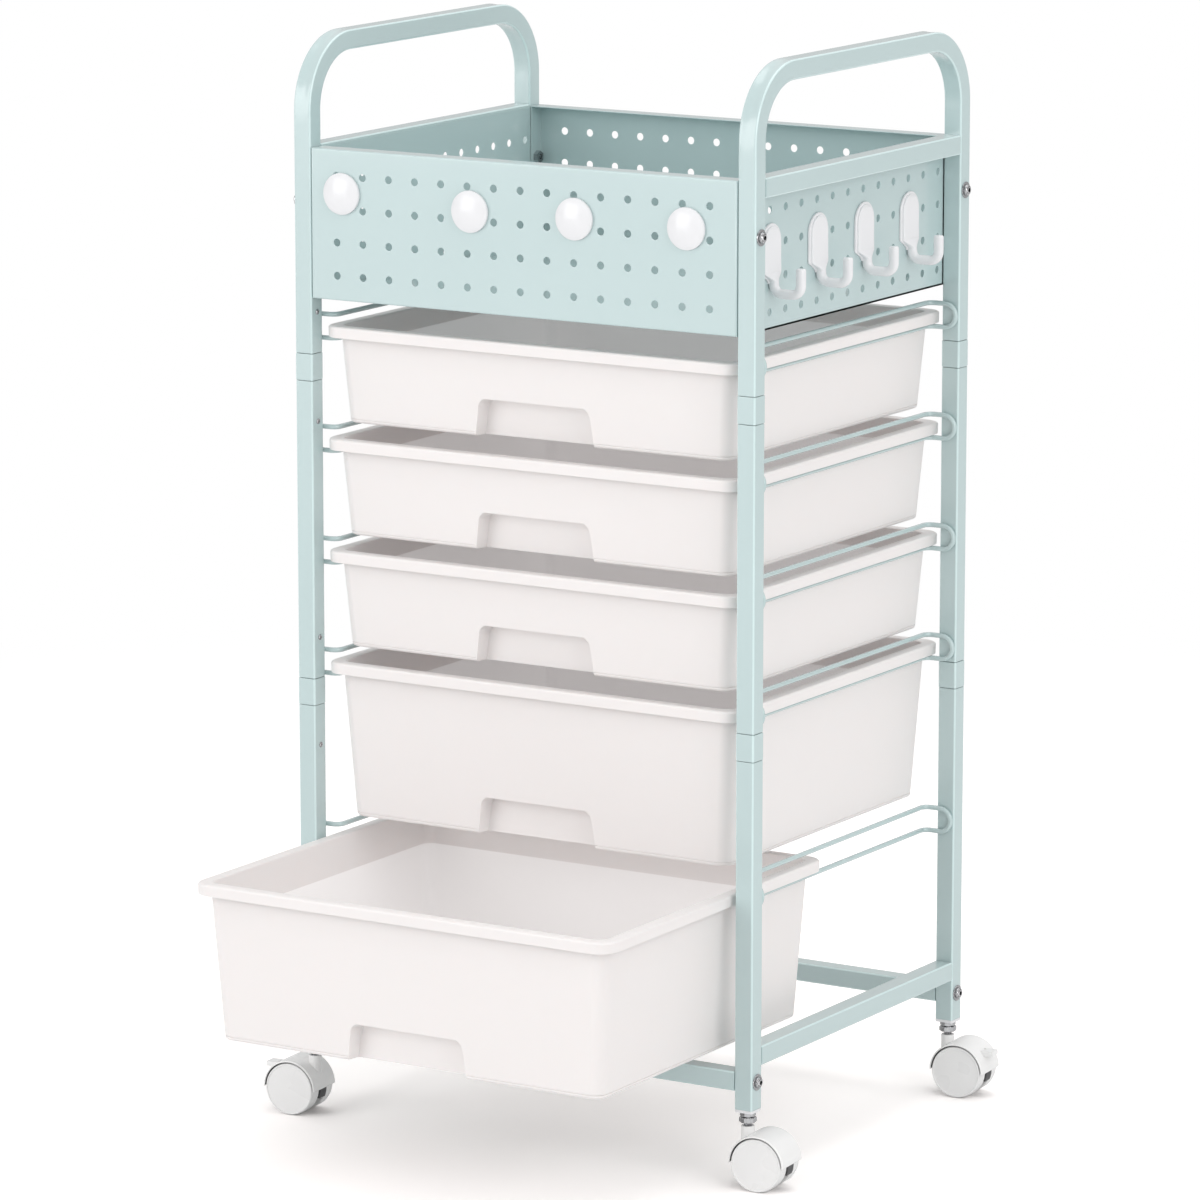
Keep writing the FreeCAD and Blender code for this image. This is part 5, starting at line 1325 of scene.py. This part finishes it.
def build_floor():
    """A large pale floor that keeps the cart's shadow and turns plain white further away."""
    mesh = bpy.data.meshes.new("floor")
    reach = FLOOR_REACH
    mesh.from_pydata([(-reach, -reach, 0), (reach, -reach, 0), (reach, reach, 0), (-reach, reach, 0)], [],
                     [(0, 1, 2, 3)])
    floor = add_object("floor", mesh)
    material = bpy.data.materials.new("floor_white")
    tree = empty_tree(material)
    camera_ray = add_node(tree, "LightPath").outputs["Is Camera Ray"]
    plain = add_node(tree, "BsdfDiffuse", {"Color": FLOOR_PLAIN})
    seen = add_node(tree, "BsdfDiffuse", {"Color": FLOOR_SEEN})
    near = add_node(tree, "MixShader", {"Fac": camera_ray, 1: plain.outputs["BSDF"], 2: seen.outputs["BSDF"]})
    place = add_node(tree, "TexCoord")
    distance = add_node(tree, "VectorMath", {0: place.outputs["Object"]}, operation="LENGTH")
    share = add_node(tree, "MapRange", {"From Min": FLOOR_NEAR, "From Max": FLOOR_FAR,
                                        "Value": distance.outputs["Value"]}, interpolation_type="SMOOTHSTEP")
    only_seen = add_node(tree, "Math", {0: camera_ray, 1: share.outputs["Result"]}, operation="MULTIPLY")
    glow = add_node(tree, "Emission", {"Strength": 1.0})
    total = add_node(tree, "MixShader", {"Fac": only_seen.outputs["Value"], 1: near.outputs["Shader"],
                                         2: glow.outputs["Emission"]})
    add_node(tree, "OutputMaterial", {"Surface": total.outputs["Shader"]})
    floor.data.materials.append(material)


def build_world():
    """Even light from above that fades towards the horizon, seen as one pale tone."""
    world = bpy.data.worlds.new("studio")
    bpy.context.scene.world = world
    tree = empty_tree(world)
    place = add_node(tree, "TexCoord")
    split = add_node(tree, "SeparateXYZ", {"Vector": place.outputs["Generated"]})
    sky = add_ramp(tree, split.outputs["Z"], SKY_STOPS)
    light = add_node(tree, "Background", {"Strength": SKY_LIGHT, "Color": sky})
    seen = add_node(tree, "Background", {"Strength": 1.0})
    path = add_node(tree, "LightPath")
    mix = add_node(tree, "MixShader", {"Fac": path.outputs["Is Camera Ray"], 1: light.outputs["Background"],
                                       2: seen.outputs["Background"]})
    add_node(tree, "OutputWorld", {"Surface": mix.outputs["Shader"]})


# Name, place, aim, width and height in metres, and power in watts
LAMPS = [
    ("key", (-2.9, -4.9, 1.9), (0, 0, 0.6), 4.0, 3.2, 96.0),
    ("top", (0.3, 0.5, 3.6), (0, 0, 0.5), 2.6, 2.6, 26.0),
    ("side", (3.8, -1.6, 1.8), (0, 0, 0.6), 2.4, 2.4, 43.0),
]


def add_lamp(name, place, target, width, height, power):
    lamp = bpy.data.lights.new(name, "AREA")
    lamp.shape = "RECTANGLE"
    lamp.size = width
    lamp.size_y = height
    lamp.energy = power
    holder = add_object(name, lamp)
    holder.location = place
    aim = Vector(target) - Vector(place)
    holder.rotation_euler = aim.to_track_quat("-Z", "Y").to_euler()


CAMERA_PLACE = (3.2483, -5.3617, 1.7300)
CAMERA_YAW = 31.509
CAMERA_PITCH = 11.073
CAMERA_LENS = 197.49
CAMERA_SENSOR = 36.0
CAMERA_CLIP = 300.0


def build_camera():
    data = bpy.data.cameras.new("camera")
    data.lens = CAMERA_LENS
    data.sensor_width = CAMERA_SENSOR
    data.clip_end = CAMERA_CLIP
    camera = add_object("camera", data)
    camera.location = CAMERA_PLACE
    camera.rotation_euler = (radians(90 - CAMERA_PITCH), 0, radians(CAMERA_YAW))
    bpy.context.scene.camera = camera


build_floor()
build_world()
for lamp in LAMPS:
    add_lamp(*lamp)
build_camera()
bpy.context.scene.view_settings.view_transform = "Standard"
